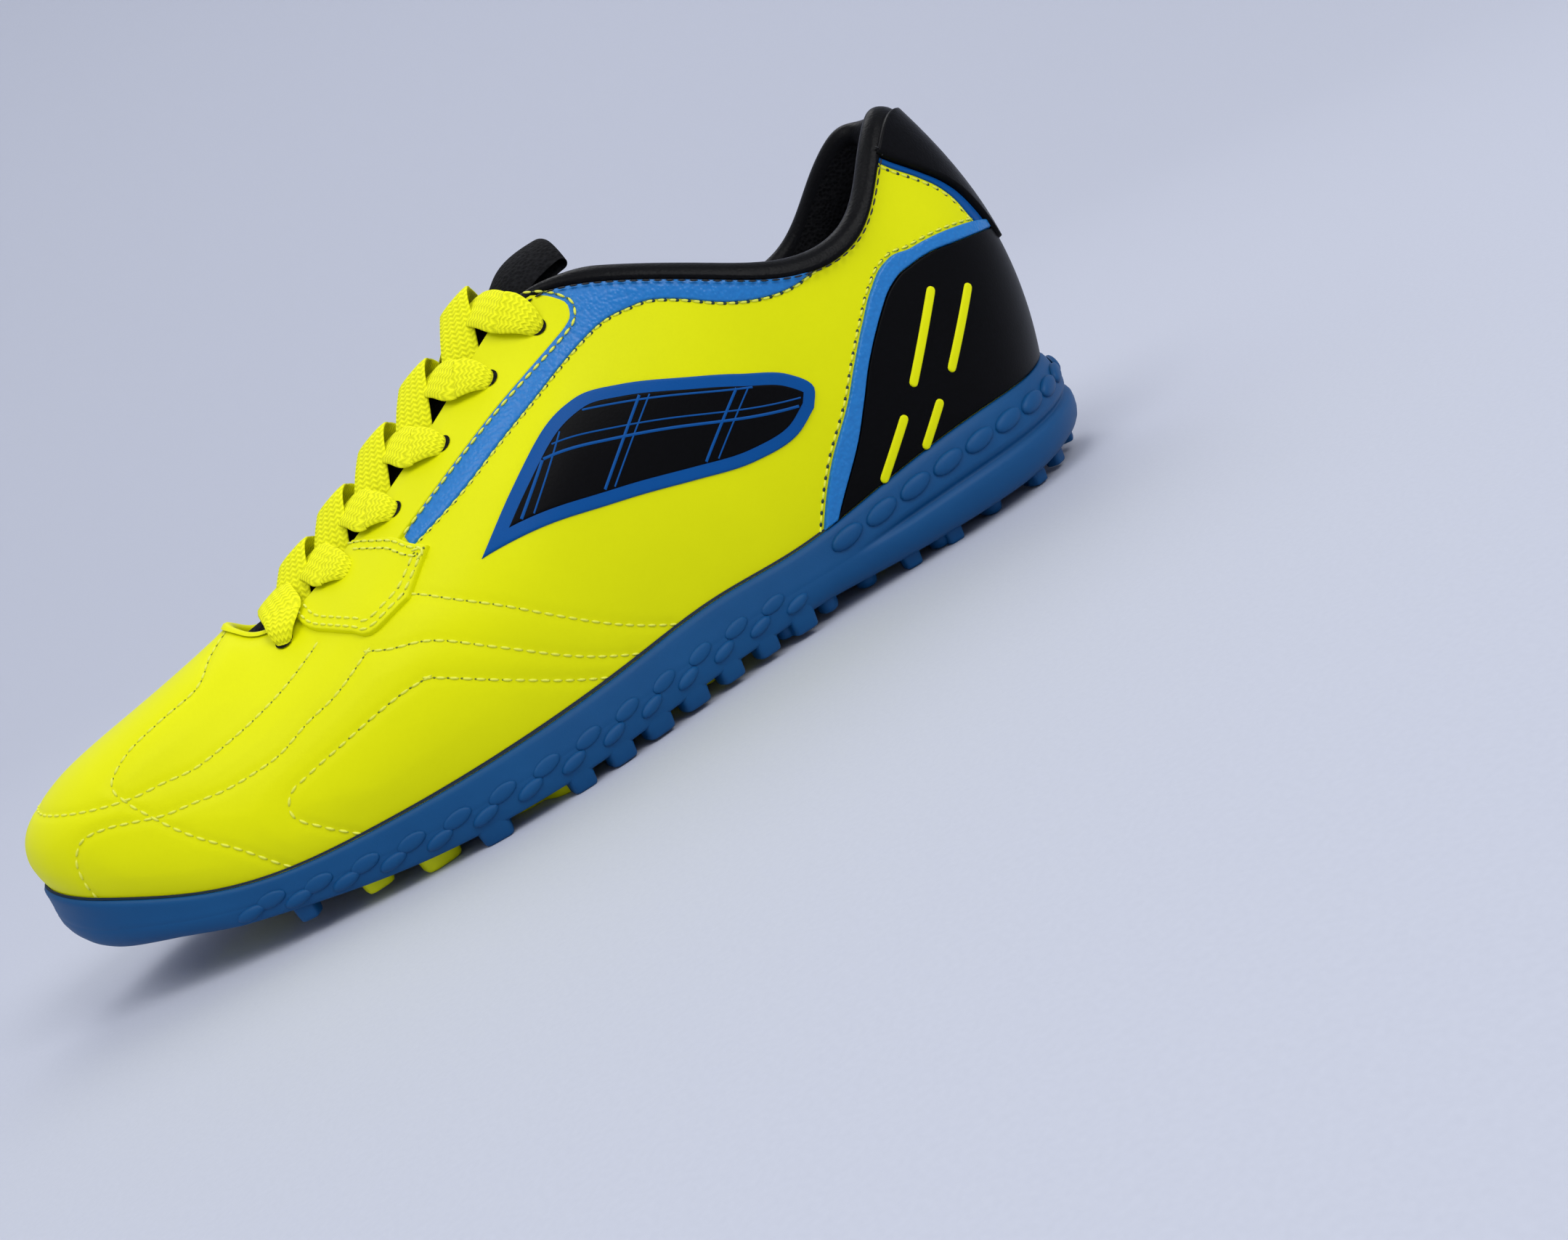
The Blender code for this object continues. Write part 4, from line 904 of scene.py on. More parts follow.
def make_badge():
    """A plain black shape with a blue border and a lattice of fine lines, on each side."""
    foot, top = traced(BADGE_FOOT), traced(BADGE_TOP)
    ring = np.vstack([foot, top[::-1][1:-1]])
    field_foot, field_top = drawn_in(ring, BADGE_BORDER, len(foot))
    inner_foot, inner_top = drawn_in(ring, BADGE_BORDER + 0.0004, len(foot))
    lattice_ring = np.vstack([inner_foot, inner_top[::-1]])
    for side, name in SIDES:
        placed(panel("badge_border_" + name, foot, top, FILM, BLUE_LINE, side))
        placed(panel("badge_field_" + name, evenly(field_foot, 300), evenly(field_top, 300),
                     BADGE_FIELD_RISE, BLACK_FILM, side, base=FILM))
        for k, (start, end, width) in enumerate(LATTICE):
            line = traced((start, end), 400)
            line = evenly(line[within(line, lattice_ring)], 200)
            placed(panel("badge_line_%d_%s" % (k + 1, name), beside(line, width / 2),
                         beside(line, -width / 2), BADGE_LINE_RISE, BLUE_LINE, side,
                         base=FILM + BADGE_FIELD_RISE, spacing=0.0015))


# Collar
def rim_direction(u):
    """The way that the upper runs as it comes to the edge of its opening."""
    tangent = rib(u, 1.0) - rib(u, 0.97)
    return tangent / np.linalg.norm(tangent, axis=1)[:, None]


def make_collar():
    """The black roll round the opening, the lining under it and the yellow edge of the throat."""
    u = np.linspace(-8.75, 8.75, 420)
    thickness = wall(u, 1.0)
    tangent = rim_direction(u)
    rise = 0.30 * thickness * (1 + collar_share(u))
    rows = [skin(u, 0.972, -0.0002), skin(u, 0.974, 0.0007), skin(u, 0.985, 0.0011),
            skin(u, 0.996, 0.0010)]
    for t in np.linspace(0.06, 0.94, 12):
        arch = rise * math.sin(math.pi * t) ** 0.6
        rows.append(skin(u, 1.0, 0.0009 - (thickness + 0.0009) * t) + tangent * arch[:, None])
    for v in np.linspace(0.99, 0.60, 16):
        rows.append(skin(u, v, -wall(u, v)))
    points = np.stack(rows, axis=1)
    centre = skin(u, 0.9, -0.5 * thickness)[:, None, :]
    placed(grid_piece("collar_roll", points, BLACK_LEATHER, toward=points - centre))

    u = np.arange(400) * AROUND / 400
    rows = [skin(u, v, -wall(u, v) - 0.0002) for v in np.linspace(0.995, 0.0, 40)]
    rows.append(np.column_stack([outline(u, feather_inset(u) + WALL), bed_height(u) + 0.001]))
    points = np.stack(rows, axis=1)
    inward = np.stack([-directions(u, 0.5)[2]] * len(rows), axis=1)
    placed(grid_piece("lining", points, BLACK_CLOTH, closed=True, toward=inward))

    u = np.linspace(8.62, AROUND - 8.62, 420)
    tangent = rim_direction(u)
    rows = [skin(u, 0.985, 0.0006), skin(u, 0.996, 0.0009)]
    for t in np.linspace(0.1, 0.9, 7):
        arch = 0.0008 * math.sin(math.pi * t) ** 0.7
        rows.append(skin(u, 1.0, 0.0009 - (WALL + 0.0009) * t) + tangent * arch)
    rows.append(skin(u, 0.985, -WALL))
    points = np.stack(rows, axis=1)
    centre = skin(u, 0.97, -0.001)[:, None, :]
    placed(grid_piece("throat_edge", points, NEON_LEATHER, toward=points - centre))


# Tongue
TONGUE_ROWS = ((9.0, 0.965), (9.3, 0.90), (9.7, 0.83), (10.3, 0.80), (11.0, 0.80), (11.7, 0.80),
               (12.4, 0.81), (13.1, 0.83))
TONGUE_FRONT = (13.8, 0.90)
TONGUE_CLEAR = 0.0009
TONGUE_TOP_SWELL = 0.0024
DOME_PLACES = (-0.66, -0.33, 0.0, 0.33, 0.66)


def tongue_section(u, side_level, depth):
    """One section of the tongue from the lateral side to the medial side."""
    lateral = []
    medial = []
    for v in (side_level, 0.5 * (side_level + 1.0), 1.0):
        lateral.append(skin(u, v, -depth)[0])
        medial.append(skin(AROUND - u, v, -depth)[0])
    half = 0.5 * (medial[-1][1] - lateral[-1][1])
    middle = 0.5 * (lateral[-1] + medial[-1])
    dome = [middle + np.array([0.0, half * q, TONGUE_CROWN * half * (1 - q * q)]) for q in DOME_PLACES]
    return lateral + dome + medial[::-1]


def tongue_grid(depth):
    """The tongue's face at a depth under the upper, from the tip of its top down to its front."""
    rows = []
    top = tongue_section(TONGUE_ROWS[0][0], TONGUE_ROWS[0][1], depth)
    ridge = top[len(top) // 2]
    for share in (1.0, 0.93, 0.75, 0.5, 0.25):
        moved = []
        for point in top:
            swell = TONGUE_TOP_SWELL * math.sin(math.pi * share ** 0.8)
            shift = np.array([TONGUE_TOP_LENGTH * share - 0.4 * swell, 0.0, TONGUE_TOP_RISE * share + swell])
            from_ridge = point - ridge
            from_ridge[1] *= 1 - 0.22 * share
            from_ridge[2] *= 1 - 0.30 * share
            from_ridge[0] *= 1 - share
            moved.append(ridge + from_ridge + shift)
        rows.append(moved)
    for u, level in TONGUE_ROWS:
        rows.append(tongue_section(u, level, depth))
    across = len(top)
    start, level = TONGUE_FRONT
    places = np.linspace(start, AROUND - start, across)
    rows.append([skin(u, level, -depth)[0] for u in places])
    return np.array(rows)


def make_tongue():
    """The padded tongue, closed round its top."""
    outer = tongue_grid(WALL + TONGUE_CLEAR)
    inner = tongue_grid(WALL + TONGUE_CLEAR + TONGUE_THICKNESS)
    middle = (outer[:1] + inner[:1]) / 2 + np.array([0.0012, 0, 0.0004])
    shell = np.concatenate([outer[::-1], middle, inner])
    piece = grid_piece("tongue_padding", shell, BLACK_CLOTH, toward=np.concatenate(
        [outer[::-1] - inner[::-1], middle - (outer[2:3] + inner[2:3]) / 2, inner - outer]))
    soft = piece.modifiers.new("soft", "SUBSURF")
    soft.levels = soft.render_levels = 3
    placed(piece, "tongue")


# Laces
EYELET_ROWS = (12.60, 11.48, 10.80, 10.12, 9.46, 8.70)
EYELET_LEVEL = 0.89
EYELET_RADIUS = 0.0023
LACE_CLEAR = 0.0008
CREST_LIFT = 0.0010
FAR_STOP = 0.0026
EDGE_SHIFT = 0.33
FAR_SHIFT = 1.00
CREST_SHARE = 0.26
LACE_LOOSE = 0.0037
NEAR_ARCH = 0.0012
EYESTAY_RUN = ((0.0, 0.884, 0.0003), (0.10, 0.895, 0.0017), (0.30, 0.918, 0.0026),
               (0.55, 0.948, 0.0028), (0.80, 0.978, 0.0028), (1.0, 1.0, 0.0027))


def throat_half(x):
    """Half the throat's width at a place along it, and the height of its edge."""
    u = np.linspace(8.6, 15.0, 200)
    edge = skin(u, 1.0, -(WALL + TONGUE_CLEAR))
    order = np.argsort(edge[:, 0])
    return np.interp(x, edge[order, 0], -edge[order, 1]), np.interp(x, edge[order, 0], edge[order, 2])


def over_tongue(x, y, lift):
    """A point over the tongue's dome, and the dome's direction there."""
    half, height = throat_half(x)
    q = y / half
    normal = np.array([-0.40, 2 * TONGUE_CROWN * q, 1.0])
    normal /= np.linalg.norm(normal)
    return np.array([x, y, height + TONGUE_CROWN * half * (1 - q * q)]) + normal * lift, normal


def lace_path(start, side, raised, edge_shift=EDGE_SHIFT, far_shift=FAR_SHIFT):
    """A lace from its eyelet slantwise over the eyestay and the tongue, to under the far edge."""
    lift = LACE_CLEAR + LACE_THICKNESS / 2
    path = []
    normals = []
    for share, level, height in EYESTAY_RUN:
        u = start + edge_shift * share
        u = u if side < 0 else AROUND - u
        base = skin(u, level)[0]
        point = skin(u, level, height)[0]
        path.append(point)
        normals.append((point - base) / np.linalg.norm(point - base))
    edge, edge_normal = path[-1], normals[-1]
    far = skin(start + far_shift, 1.0, -(WALL + TONGUE_CLEAR))[0]
    far_y = -side * (throat_half(far[0])[0] - FAR_STOP)
    crest_x = edge[0] + (far[0] - edge[0]) * CREST_SHARE
    crest, crest_normal = over_tongue(crest_x, 0.0, lift + CREST_LIFT + raised)
    for share in (0.25, 0.5, 0.75):
        point = edge + (crest - edge) * share
        point[2] += NEAR_ARCH * 4 * share * (1 - share)
        path.append(point)
        normals.append(edge_normal * (1 - share) + crest_normal * share)
    for share in (0.0, 0.33, 0.67, 1.0):
        x = crest_x + (far[0] - crest_x) * share
        point, normal = over_tongue(x, far_y * share, lift + (CREST_LIFT + raised) * (1 - share))
        path.append(point)
        normals.append(normal)
    return np.array(path), np.array(normals)


def smoothed(values, per_span):
    """Points along the smooth curve through a list of points."""
    values = np.asarray(values, float)
    slope = np.gradient(values, axis=0)
    k = np.repeat(np.arange(len(values) - 1), per_span)
    t = np.tile(np.arange(per_span) / per_span, len(values) - 1)[:, None]
    return np.vstack([curve(t, values[k], slope[k], values[k + 1], slope[k + 1]), values[-1:]])


PINCH = 0.36
PINCH_LENGTH = 0.0090


def lace(name, path, normals, pinched, *replaced):
    """A flat braided lace along a path, drawn together where it goes into an eyelet."""
    path = smoothed(path, 8)
    normals = smoothed(normals, 8)
    tangent = np.gradient(path, axis=0)
    tangent /= np.linalg.norm(tangent, axis=1)[:, None]
    normals -= tangent * np.sum(normals * tangent, axis=1)[:, None]
    normals /= np.linalg.norm(normals, axis=1)[:, None]
    side = np.cross(normals, tangent)
    along = np.r_[0, np.cumsum(np.linalg.norm(np.diff(path, axis=0), axis=1))]
    narrow = np.ones(len(path))
    for pinch, gone in zip(pinched, (along, along[-1] - along)):
        if pinch:
            t = np.clip(gone / PINCH_LENGTH, 0.0, 1.0)
            narrow *= PINCH + (1 - PINCH) * t * (2 - t) ** 0.5
    across = np.array([-1.0, -0.94, -0.75, -0.45, -0.15, 0.15, 0.45, 0.75, 0.94, 1.0])
    across = np.r_[across, across[-2:0:-1]]
    thick = np.r_[0.0, 0.55, 0.85, 0.97, 1.0, 1.0, 0.97, 0.85, 0.55, 0.0,
                  -0.55, -0.85, -0.97, -1.0, -1.0, -0.97, -0.85, -0.55] * LACE_THICKNESS / 2
    bend = (1 - across ** 2) * 0.0002
    width = LACE_WIDTH / 2 * narrow
    ring = (path[:, None, :] + side[:, None, :] * (across[None, :] * width[:, None])[:, :, None]
            + normals[:, None, :] * (thick[None, :] / narrow[:, None] ** 0.5
                                     + bend[None, :] * (2 - narrow[:, None]))[:, :, None])
    ring = np.concatenate([ring, ring[:, :1]], axis=1)
    fields = {"along": np.repeat(along[:, None], ring.shape[1], 1),
              "across": np.repeat(np.r_[across, across[:1]][None, :], len(path), 0)}
    piece = grid_piece(name, ring, LACE_BRAID, toward=ring - path[:, None, :], fields=fields)
    return placed(piece, *replaced)


def make_laces():
    """The front bar, and behind it two crossing runs in each row of eyelets."""
    rows = EYELET_ROWS
    path, normals = lace_path(rows[0], -1, 0.0, 0.0, 0.0)
    far_path, far_normals = lace_path(rows[0], 1, 0.0, 0.0, 0.0)
    middle = len(path) - 3
    lace("lace_front", np.vstack([path[:middle], far_path[:middle - 1][::-1]]),
         np.vstack([normals[:middle], far_normals[:middle - 1][::-1]]), (True, True), "lace_bar")
    for k in range(1, len(rows)):
        lace("lace_under_%d" % k, *lace_path(rows[k], -1, 0.0), (True, False), "lace_crossing_%d" % k)
        lace("lace_over_%d" % k, *lace_path(rows[k], 1, LACE_LOOSE), (True, False))


def make_eyelets():
    """Flat black discs for the punched holes that the laces go into: black like the lining under them, and
    painted shade for the depth of the holes.
    """
    angle = np.linspace(0, 2 * math.pi, 25)
    for side, name in SIDES:
        for k, row in enumerate(EYELET_ROWS):
            u = row if side < 0 else AROUND - row
            rise = EYESTAY_RISE * (0.2 if k == 0 else 1.0)
            centre = skin(u, EYELET_LEVEL, relief(u, EYELET_LEVEL) + rise)[0]
            along, across, normal = (d[0] for d in directions(np.array([u]), EYELET_LEVEL))
            along /= np.linalg.norm(along)
            across = np.cross(normal, along)
            rings = []
            for radius, height in ((1.0, 0.00018), (0.85, 0.00012), (0.6, 0.00006), (0.02, 0.00004)):
                rings.append([centre + EYELET_RADIUS * radius * (math.cos(a) * along + math.sin(a) * across)
                              + normal * height for a in angle])
            # A flat black disc: the lining's black, with the shade inside the hole painted in
            placed(grid_piece("eyelet_%d_%s" % (k + 1, name), rings, BLACK_CLOTH,
                              toward=np.broadcast_to(normal, (4, 25, 3))))


# Sole, with the places that the part gives its insert, pods and studs
INSERT_OUTLINE = (
    (0.232, 0.66), (0.205, 0.42), (0.166, -0.02), (0.118, -0.45), (0.086, -0.64), (0.045, -0.72),
    (0.000, -0.70), (-0.050, -0.60), (-0.100, -0.45), (-0.145, -0.27), (-0.185, -0.05),
    (-0.222, 0.20), (-0.246, 0.48), (-0.252, 0.78), (-0.246, 1.12), (-0.170, 1.16), (-0.060, 1.14),
    (0.040, 1.05), (0.140, 0.95), (0.215, 0.86),
)
PODS = (
    ("pod_ball_outer", (-0.118, -0.72), ((20, 0.026), (170, 0.0295), (-55, 0.026))),
    ("pod_ball_inner", (-0.240, -0.36), ((95, 0.033), (-35, 0.031), (215, 0.033))),
    ("pod_toe_outer", (-0.358, -0.20), ((-60, 0.031), (70, 0.019), (165, 0.033))),
    ("pod_toe_inner", (-0.330, 0.17), ((20, 0.035), (110, 0.0175), (205, 0.033))),
    ("pod_heel_front", (0.246, -0.13), ((-120, 0.026), (-10, 0.0225), (105, 0.026))),
    ("pod_heel_outer", (0.338, 0.50), ((-70, 0.0245), (50, 0.0225), (180, 0.0225))),
    ("pod_heel_inner", (0.262, 0.47), ((-135, 0.026), (0, 0.0225), (120, 0.0245))),
)
NEON_LUGS = ((-0.2655, -0.72, 12.5, 10, 12), (-0.2155, -0.80, 17, 11, 12))
SOLE_STUDS = (
    (-0.160, -0.42, 14, 12, 20), (-0.190, -0.62, 12.5, 11, 30), (-0.320, -0.52, 12, 10.5, 20),
    (-0.262, 0.04, 10, 9, 0), (-0.405, 0.16, 9, 8.5, 0), (-0.395, -0.12, 10, 9, 0),
    (-0.285, 0.42, 9, 7.5, 40), (-0.315, 0.50, 9, 7.5, 40), (-0.345, 0.56, 10, 8.5, 40),
    (-0.292, 0.68, 9, 7.5, 40), (-0.325, 0.74, 9, 7.5, 40), (-0.392, 0.46, 10, 8.5, 40),
    (-0.372, 0.70, 9, 8.5, 40), (-0.300, 0.88, 9, 7.5, 40), (-0.340, 0.38, 9, 7.5, 40),
    (0.120, -0.62, 14, 10.5, 75), (0.165, -0.58, 14, 10.5, 80), (0.210, -0.50, 14, 10.5, 90),
    (0.400, -0.40, 12.5, 10.5, 120), (0.425, -0.12, 12.5, 10.5, 90), (0.420, 0.16, 12.5, 10.5, 90),
    (0.285, -0.52, 14, 10.5, 90), (0.345, -0.48, 14, 10.5, 100), (0.340, -0.02, 12, 10.5, 90),
    (0.400, 0.36, 12.5, 10.5, 60),
)
SIDE_ROWS = (
    (0.00, 0.0030, 0.0), (0.04, 0.0018, 0.0), (0.10, 0.0009, 0.0), (0.18, 0.0003, 0.0),
    (0.28, 0.0000, 0.0), (0.36, 0.0000, 0.0), (0.41, 0.0000, 0.25), (0.44, 0.0001, 0.80),
    (0.46, 0.0001, 1.0), (0.48, 0.0001, 0.80), (0.52, 0.0001, 0.25), (0.57, 0.0002, 0.0),
    (0.66, 0.0003, 0.0), (0.78, 0.0004, 0.0), (0.88, 0.0004, 0.0), (0.94, 0.0005, 0.0),
    (0.975, 0.0008, 0.0), (0.995, 0.0012, 0.0),
)
HEEL_GROOVE = 0.0016


def edge_crispness(u):
    """1 where the wall's lower edge is sharp, along the forefoot, and 0 at the round toe and heel."""
    from_heel = np.minimum(np.mod(u, AROUND), AROUND - np.mod(u, AROUND))
    return np.clip((from_heel - 5.8) / 0.8, 0.0, 1.0) * np.clip((13.6 - from_heel) / 0.8, 0.0, 1.0)


def make_sole_wall():
    """The cup sole's side, from the edge of its underside over the lip to the upper, and a dark strip
    painted as the shadow in the joint.
    """
    u = np.arange(720) * AROUND / 720
    base = underside(u)
    height = lip_height(u) - base
    heel = np.clip((section(u)[:, 0] / LENGTH - 0.20) / 0.06, 0.0, 1.0)
    crisp = edge_crispness(u)
    rows = []
    for inset in (0.010, 0.006, 0.0042):
        rows.append(np.column_stack([outline(u, inset), base + 0.0002]))
    for level, inset, groove in SIDE_ROWS:
        if level < 0.3:
            inset = inset * (1 - 0.85 * crisp)
        draw = inset + groove * HEEL_GROOVE * heel + lip_inset(u) * level ** 3
        rows.append(np.column_stack([outline(u, draw), base + height * level]))
    for inset, drop in ((LIP_WIDTH + 0.0002, 0.0002), (LIP_WIDTH + 0.0004, 0.002)):
        rows.append(np.column_stack([outline(u, lip_inset(u) + inset), lip_height(u) - drop]))
    points = np.stack(rows, axis=1)
    placed(grid_piece("sole_wall", points, BLUE_RUBBER, closed=True), "outsole")
    # A dark strip over the joint of sole and upper, painted as the shadow in the thin gap there
    seat = np.column_stack([outline(u, lip_inset(u) + 0.70 * LIP_WIDTH), lip_height(u) + 0.0001])
    line = np.stack([seat, skin(u, 0.003, 0.0004), skin(u, 0.008, 0.00025)], axis=1)
    placed(grid_piece("feather_line", line, PAINTED_SHADOW, closed=True))


def turned(profile, sides, squareness=1.0):
    """A small shape turned from a profile of radii and heights, closed at its tip."""
    angle = 2 * math.pi * (np.arange(sides) + 0.5) / sides
    ring = [tuple(math.copysign(abs(c) ** squareness, c) for c in (math.cos(a), math.sin(a))) for a in angle]
    points = [(r * x, r * y, z) for r, z in profile[:-1] for x, y in ring]
    tip = len(points)
    points.append((0.0, 0.0, profile[-1][1]))
    rings = len(profile) - 1
    faces = [(i * sides + j, i * sides + (j + 1) % sides, (i + 1) * sides + (j + 1) % sides,
              (i + 1) * sides + j) for i in range(rings - 1) for j in range(sides)]
    last = (rings - 1) * sides
    faces += [(last + j, last + (j + 1) % sides, tip) for j in range(sides)]
    mesh = bpy.data.meshes.new("turned_shape")
    mesh.from_pydata(points, [], faces)
    mesh.shade_smooth()
    return linked("turned_shape", mesh)


def stud_nodes():
    """A node tree that sets a small shape on every point, turned and sized by the point's values."""
    tree = bpy.data.node_groups.new("studs", "GeometryNodeTree")
    face = tree.interface
    face.new_socket("Geometry", in_out="INPUT", socket_type="NodeSocketGeometry")
    face.new_socket("Shape", in_out="INPUT", socket_type="NodeSocketObject")
    face.new_socket("Finish", in_out="INPUT", socket_type="NodeSocketMaterial")
    face.new_socket("Geometry", in_out="OUTPUT", socket_type="NodeSocketGeometry")
    nodes = tree.nodes
    entry = nodes.new("NodeGroupInput")
    shape = nodes.new("GeometryNodeObjectInfo")
    points = nodes.new("GeometryNodeMeshToPoints")
    copies = nodes.new("GeometryNodeInstanceOnPoints")
    value = {}
    for name in ("axis", "along", "size"):
        value[name] = nodes.new("GeometryNodeInputNamedAttribute")
        value[name].data_type = "FLOAT_VECTOR"
        value[name].inputs["Name"].default_value = name
    upright = nodes.new("FunctionNodeAlignRotationToVector")
    upright.axis = "Z"
    turn = nodes.new("FunctionNodeAlignRotationToVector")
    turn.axis = "X"
    turn.pivot_axis = "Z"
    real = nodes.new("GeometryNodeRealizeInstances")
    painted = nodes.new("GeometryNodeSetMaterial")
    leave = nodes.new("NodeGroupOutput")
    joined(tree, (entry, "Geometry", points, "Mesh"), (entry, "Shape", shape, "Object"),
           (points, "Points", copies, "Points"), (shape, "Geometry", copies, "Instance"),
           (value["axis"], "Attribute", upright, "Vector"), (upright, "Rotation", turn, "Rotation"),
           (value["along"], "Attribute", turn, "Vector"), (turn, "Rotation", copies, "Rotation"),
           (value["size"], "Attribute", copies, "Scale"), (copies, "Instances", real, "Geometry"),
           (real, "Geometry", painted, "Geometry"), (entry, "Finish", painted, "Material"),
           (painted, "Geometry", leave, "Geometry"))
    return tree


STUD_TREE = stud_nodes()


def studded(name, studs, shape, material):
    """Copies of a shape: each stud has its place, its axis, a direction along and three sizes."""
    places, axes, alongs, sizes = (np.array([stud[k] for stud in studs], float) for k in range(4))
    mesh = bpy.data.meshes.new(name + "_places")
    mesh.from_pydata(places.tolist(), [], [])
    for key, field in (("axis", axes), ("along", alongs), ("size", sizes)):
        layer = mesh.attributes.new(key, "FLOAT_VECTOR", "POINT")
        layer.data.foreach_set("vector", field.astype(np.float32).ravel())
    carrier = linked(name + "_places", mesh)
    piece = made_by(STUD_TREE, carrier, name, {"Shape": shape, "Finish": material})
    bpy.data.objects.remove(shape)
    return placed(piece)


# Profiles of small shapes, as radii and heights
DOME = ((1.0, -0.5), (1.0, 0.0), (0.93, 0.38), (0.74, 0.70), (0.42, 0.92), (0.0, 1.0))
BLOCK = ((1.06, -1.0), (1.03, 0.0), (0.94, 0.80), (0.86, 0.95), (0.72, 1.0), (0.0, 1.0))
OVAL = ((1.04, -0.3), (1.0, 0.0), (0.93, 0.55), (0.82, 0.84), (0.60, 0.97), (0.0, 1.0))
FLAT_MARK = ((1.0, 0.0), (0.6, 0.9), (0.0, 1.0))

TOOTH_PITCH = 0.0114
TOOTH_SIZE = (0.0036, 0.0030)
HEEL_TEETH = (0.9, 2.0, 2.7, 4.3, 4.9)
HEEL_TOOTH_SIZE = (0.0025, 0.0022)
# Each row of bumps by its level, the sizes of a bump and its tilt
HEEL_BUMP = (0.745, (0.0049, 0.0023, 0.0011), 0.12)
LOW_BUMP = (0.27, (0.0036, 0.0015, 0.0010), 0.25)
HIGH_BUMP = (0.47, (0.0037, 0.0017, 0.0006), 0.18)
BLOCK_START = 6.3
BLOCK_END = 12.6
LAST_OUTER_BLOCK = 10.3
LONE_TOOTH = 12.08
TOOTH_CLEARANCE = 0.0125


def spaced_round(start, stop, spacing):
    """Places round the foot, evenly spaced along the sole's outline."""
    u = np.linspace(start, stop, 2000)
    length = np.r_[0, np.cumsum(np.linalg.norm(np.diff(outline(u, 0.0), axis=0), axis=1))]
    return np.interp(np.linspace(0, length[-1], round(length[-1] / spacing) + 1), length, u)


def wall_point(u, level):
    """A point of the sole's side."""
    base = underside(u)
    return np.column_stack([outline(u, lip_inset(u) * level ** 3), base + (lip_height(u) - base) * level])[0]


def wall_bump(u, level, size, tilt):
    """A lens-shaped bump on the sole's side, with its rear end up by tilt."""
    along = wall_point(u + 0.05, level) - wall_point(u - 0.05, level)
    along /= np.linalg.norm(along)
    along[2] += tilt * (1 if along[0] > 0 else -1)
    return wall_point(u, level), np.append(outward(u)[0], 0.12), along, size


def edge_tooth(u, inset, size):
    """A tooth under the sole's edge: its place, its axis, its direction along and its sizes."""
    x, y = outline(u, inset)[0]
    base = underside_at(x)
    along = wall_point(u + 0.05, 0.0) - wall_point(u - 0.05, 0.0)
    return (x, y, base), DOWN, along, (*size, min(base, STUD_HEIGHT))


def at(x_share, y_share):
    """A place in plan from a share of the length and of half the ball's width."""
    return np.array([x_share * LENGTH, y_share * BALL_WIDTH / 2])


def make_wall_bumps():
    """Rows of lens-shaped bumps on the sole's side, and the teeth along its lower edge."""
    bumps = [wall_bump(u, *HEEL_BUMP) for u in spaced_round(-5.5, 5.5, 0.0108)]
    teeth, neon_teeth = [edge_tooth(LONE_TOOTH, 0.0036, (0.0024, 0.0026))], []
    for low, high in ((BLOCK_START, BLOCK_END), (AROUND - BLOCK_END, AROUND - BLOCK_START)):
        row = spaced_round(low, high, TOOTH_PITCH)
        between = (row[1:] + row[:-1]) / 2
        for k, u in enumerate(row):
            bumps.append(wall_bump(u, *LOW_BUMP))
            if LAST_OUTER_BLOCK < u < TOE or any(np.hypot(*(at(*place) - outline(u, 0.0033)[0]))
                                                 < TOOTH_CLEARANCE for _, place, _ in PODS):
                continue
            size = (TOOTH_SIZE[0] * (1 + 0.10 * math.sin(5.0 * k)), TOOTH_SIZE[1])
            x, y = outline(u, 0.0)[0]
            over_insert = y > 0 and INSERT_OUTLINE[14][0] < x / LENGTH < INSERT_OUTLINE[0][0]
            (neon_teeth if over_insert else teeth).append(edge_tooth(u, 0.0033, size))
        bumps += [wall_bump(u, *HIGH_BUMP) for u in between]
    studded("sole_wall_bumps", bumps, turned(DOME, 14), BLUE_RUBBER)
    teeth += [edge_tooth(u * side, 0.0066, HEEL_TOOTH_SIZE) for u in HEEL_TEETH for side in (-1, 1)]
    studded("sole_edge_teeth", teeth, turned(BLOCK, 16, 0.42), BLUE_RUBBER)
    studded("insert_edge_teeth", neon_teeth, turned(BLOCK, 16, 0.8), NEON_RUBBER)


def underside_at(x):
    u = np.linspace(0, TOE, 400)
    return np.interp(-x, -section(u)[:, 0], underside(u))


def plan_edges(x, inset):
    """The lateral and the medial edge of the sole at a place along it."""
    lateral = outline(np.linspace(0, TOE, 600), inset)
    medial = outline(np.linspace(AROUND, TOE, 600), inset)
    return (np.interp(-x, -lateral[:, 0], lateral[:, 1]), np.interp(-x, -medial[:, 0], medial[:, 1]))


def make_sole_base():
    """The blue face of the underside."""
    inset = 0.0045
    turn = np.linspace(0, math.pi, 180)
    ends = outline(np.array([0.0, TOE]), inset)[:, 0]
    x = ends.mean() + (ends[0] - ends[1]) / 2 * np.cos(turn)
    low, high = plan_edges(x, inset)
    share = np.linspace(0, 1, 50)
    y = low[:, None] + (high - low)[:, None] * share[None, :]
    z = np.repeat(underside_at(x)[:, None], 50, 1)
    points = np.stack([np.repeat(x[:, None], 50, 1), y, z], axis=-1)
    placed(grid_piece("sole_base", points, BLUE_RUBBER,
                      toward=np.broadcast_to(DOWN, points.shape)))


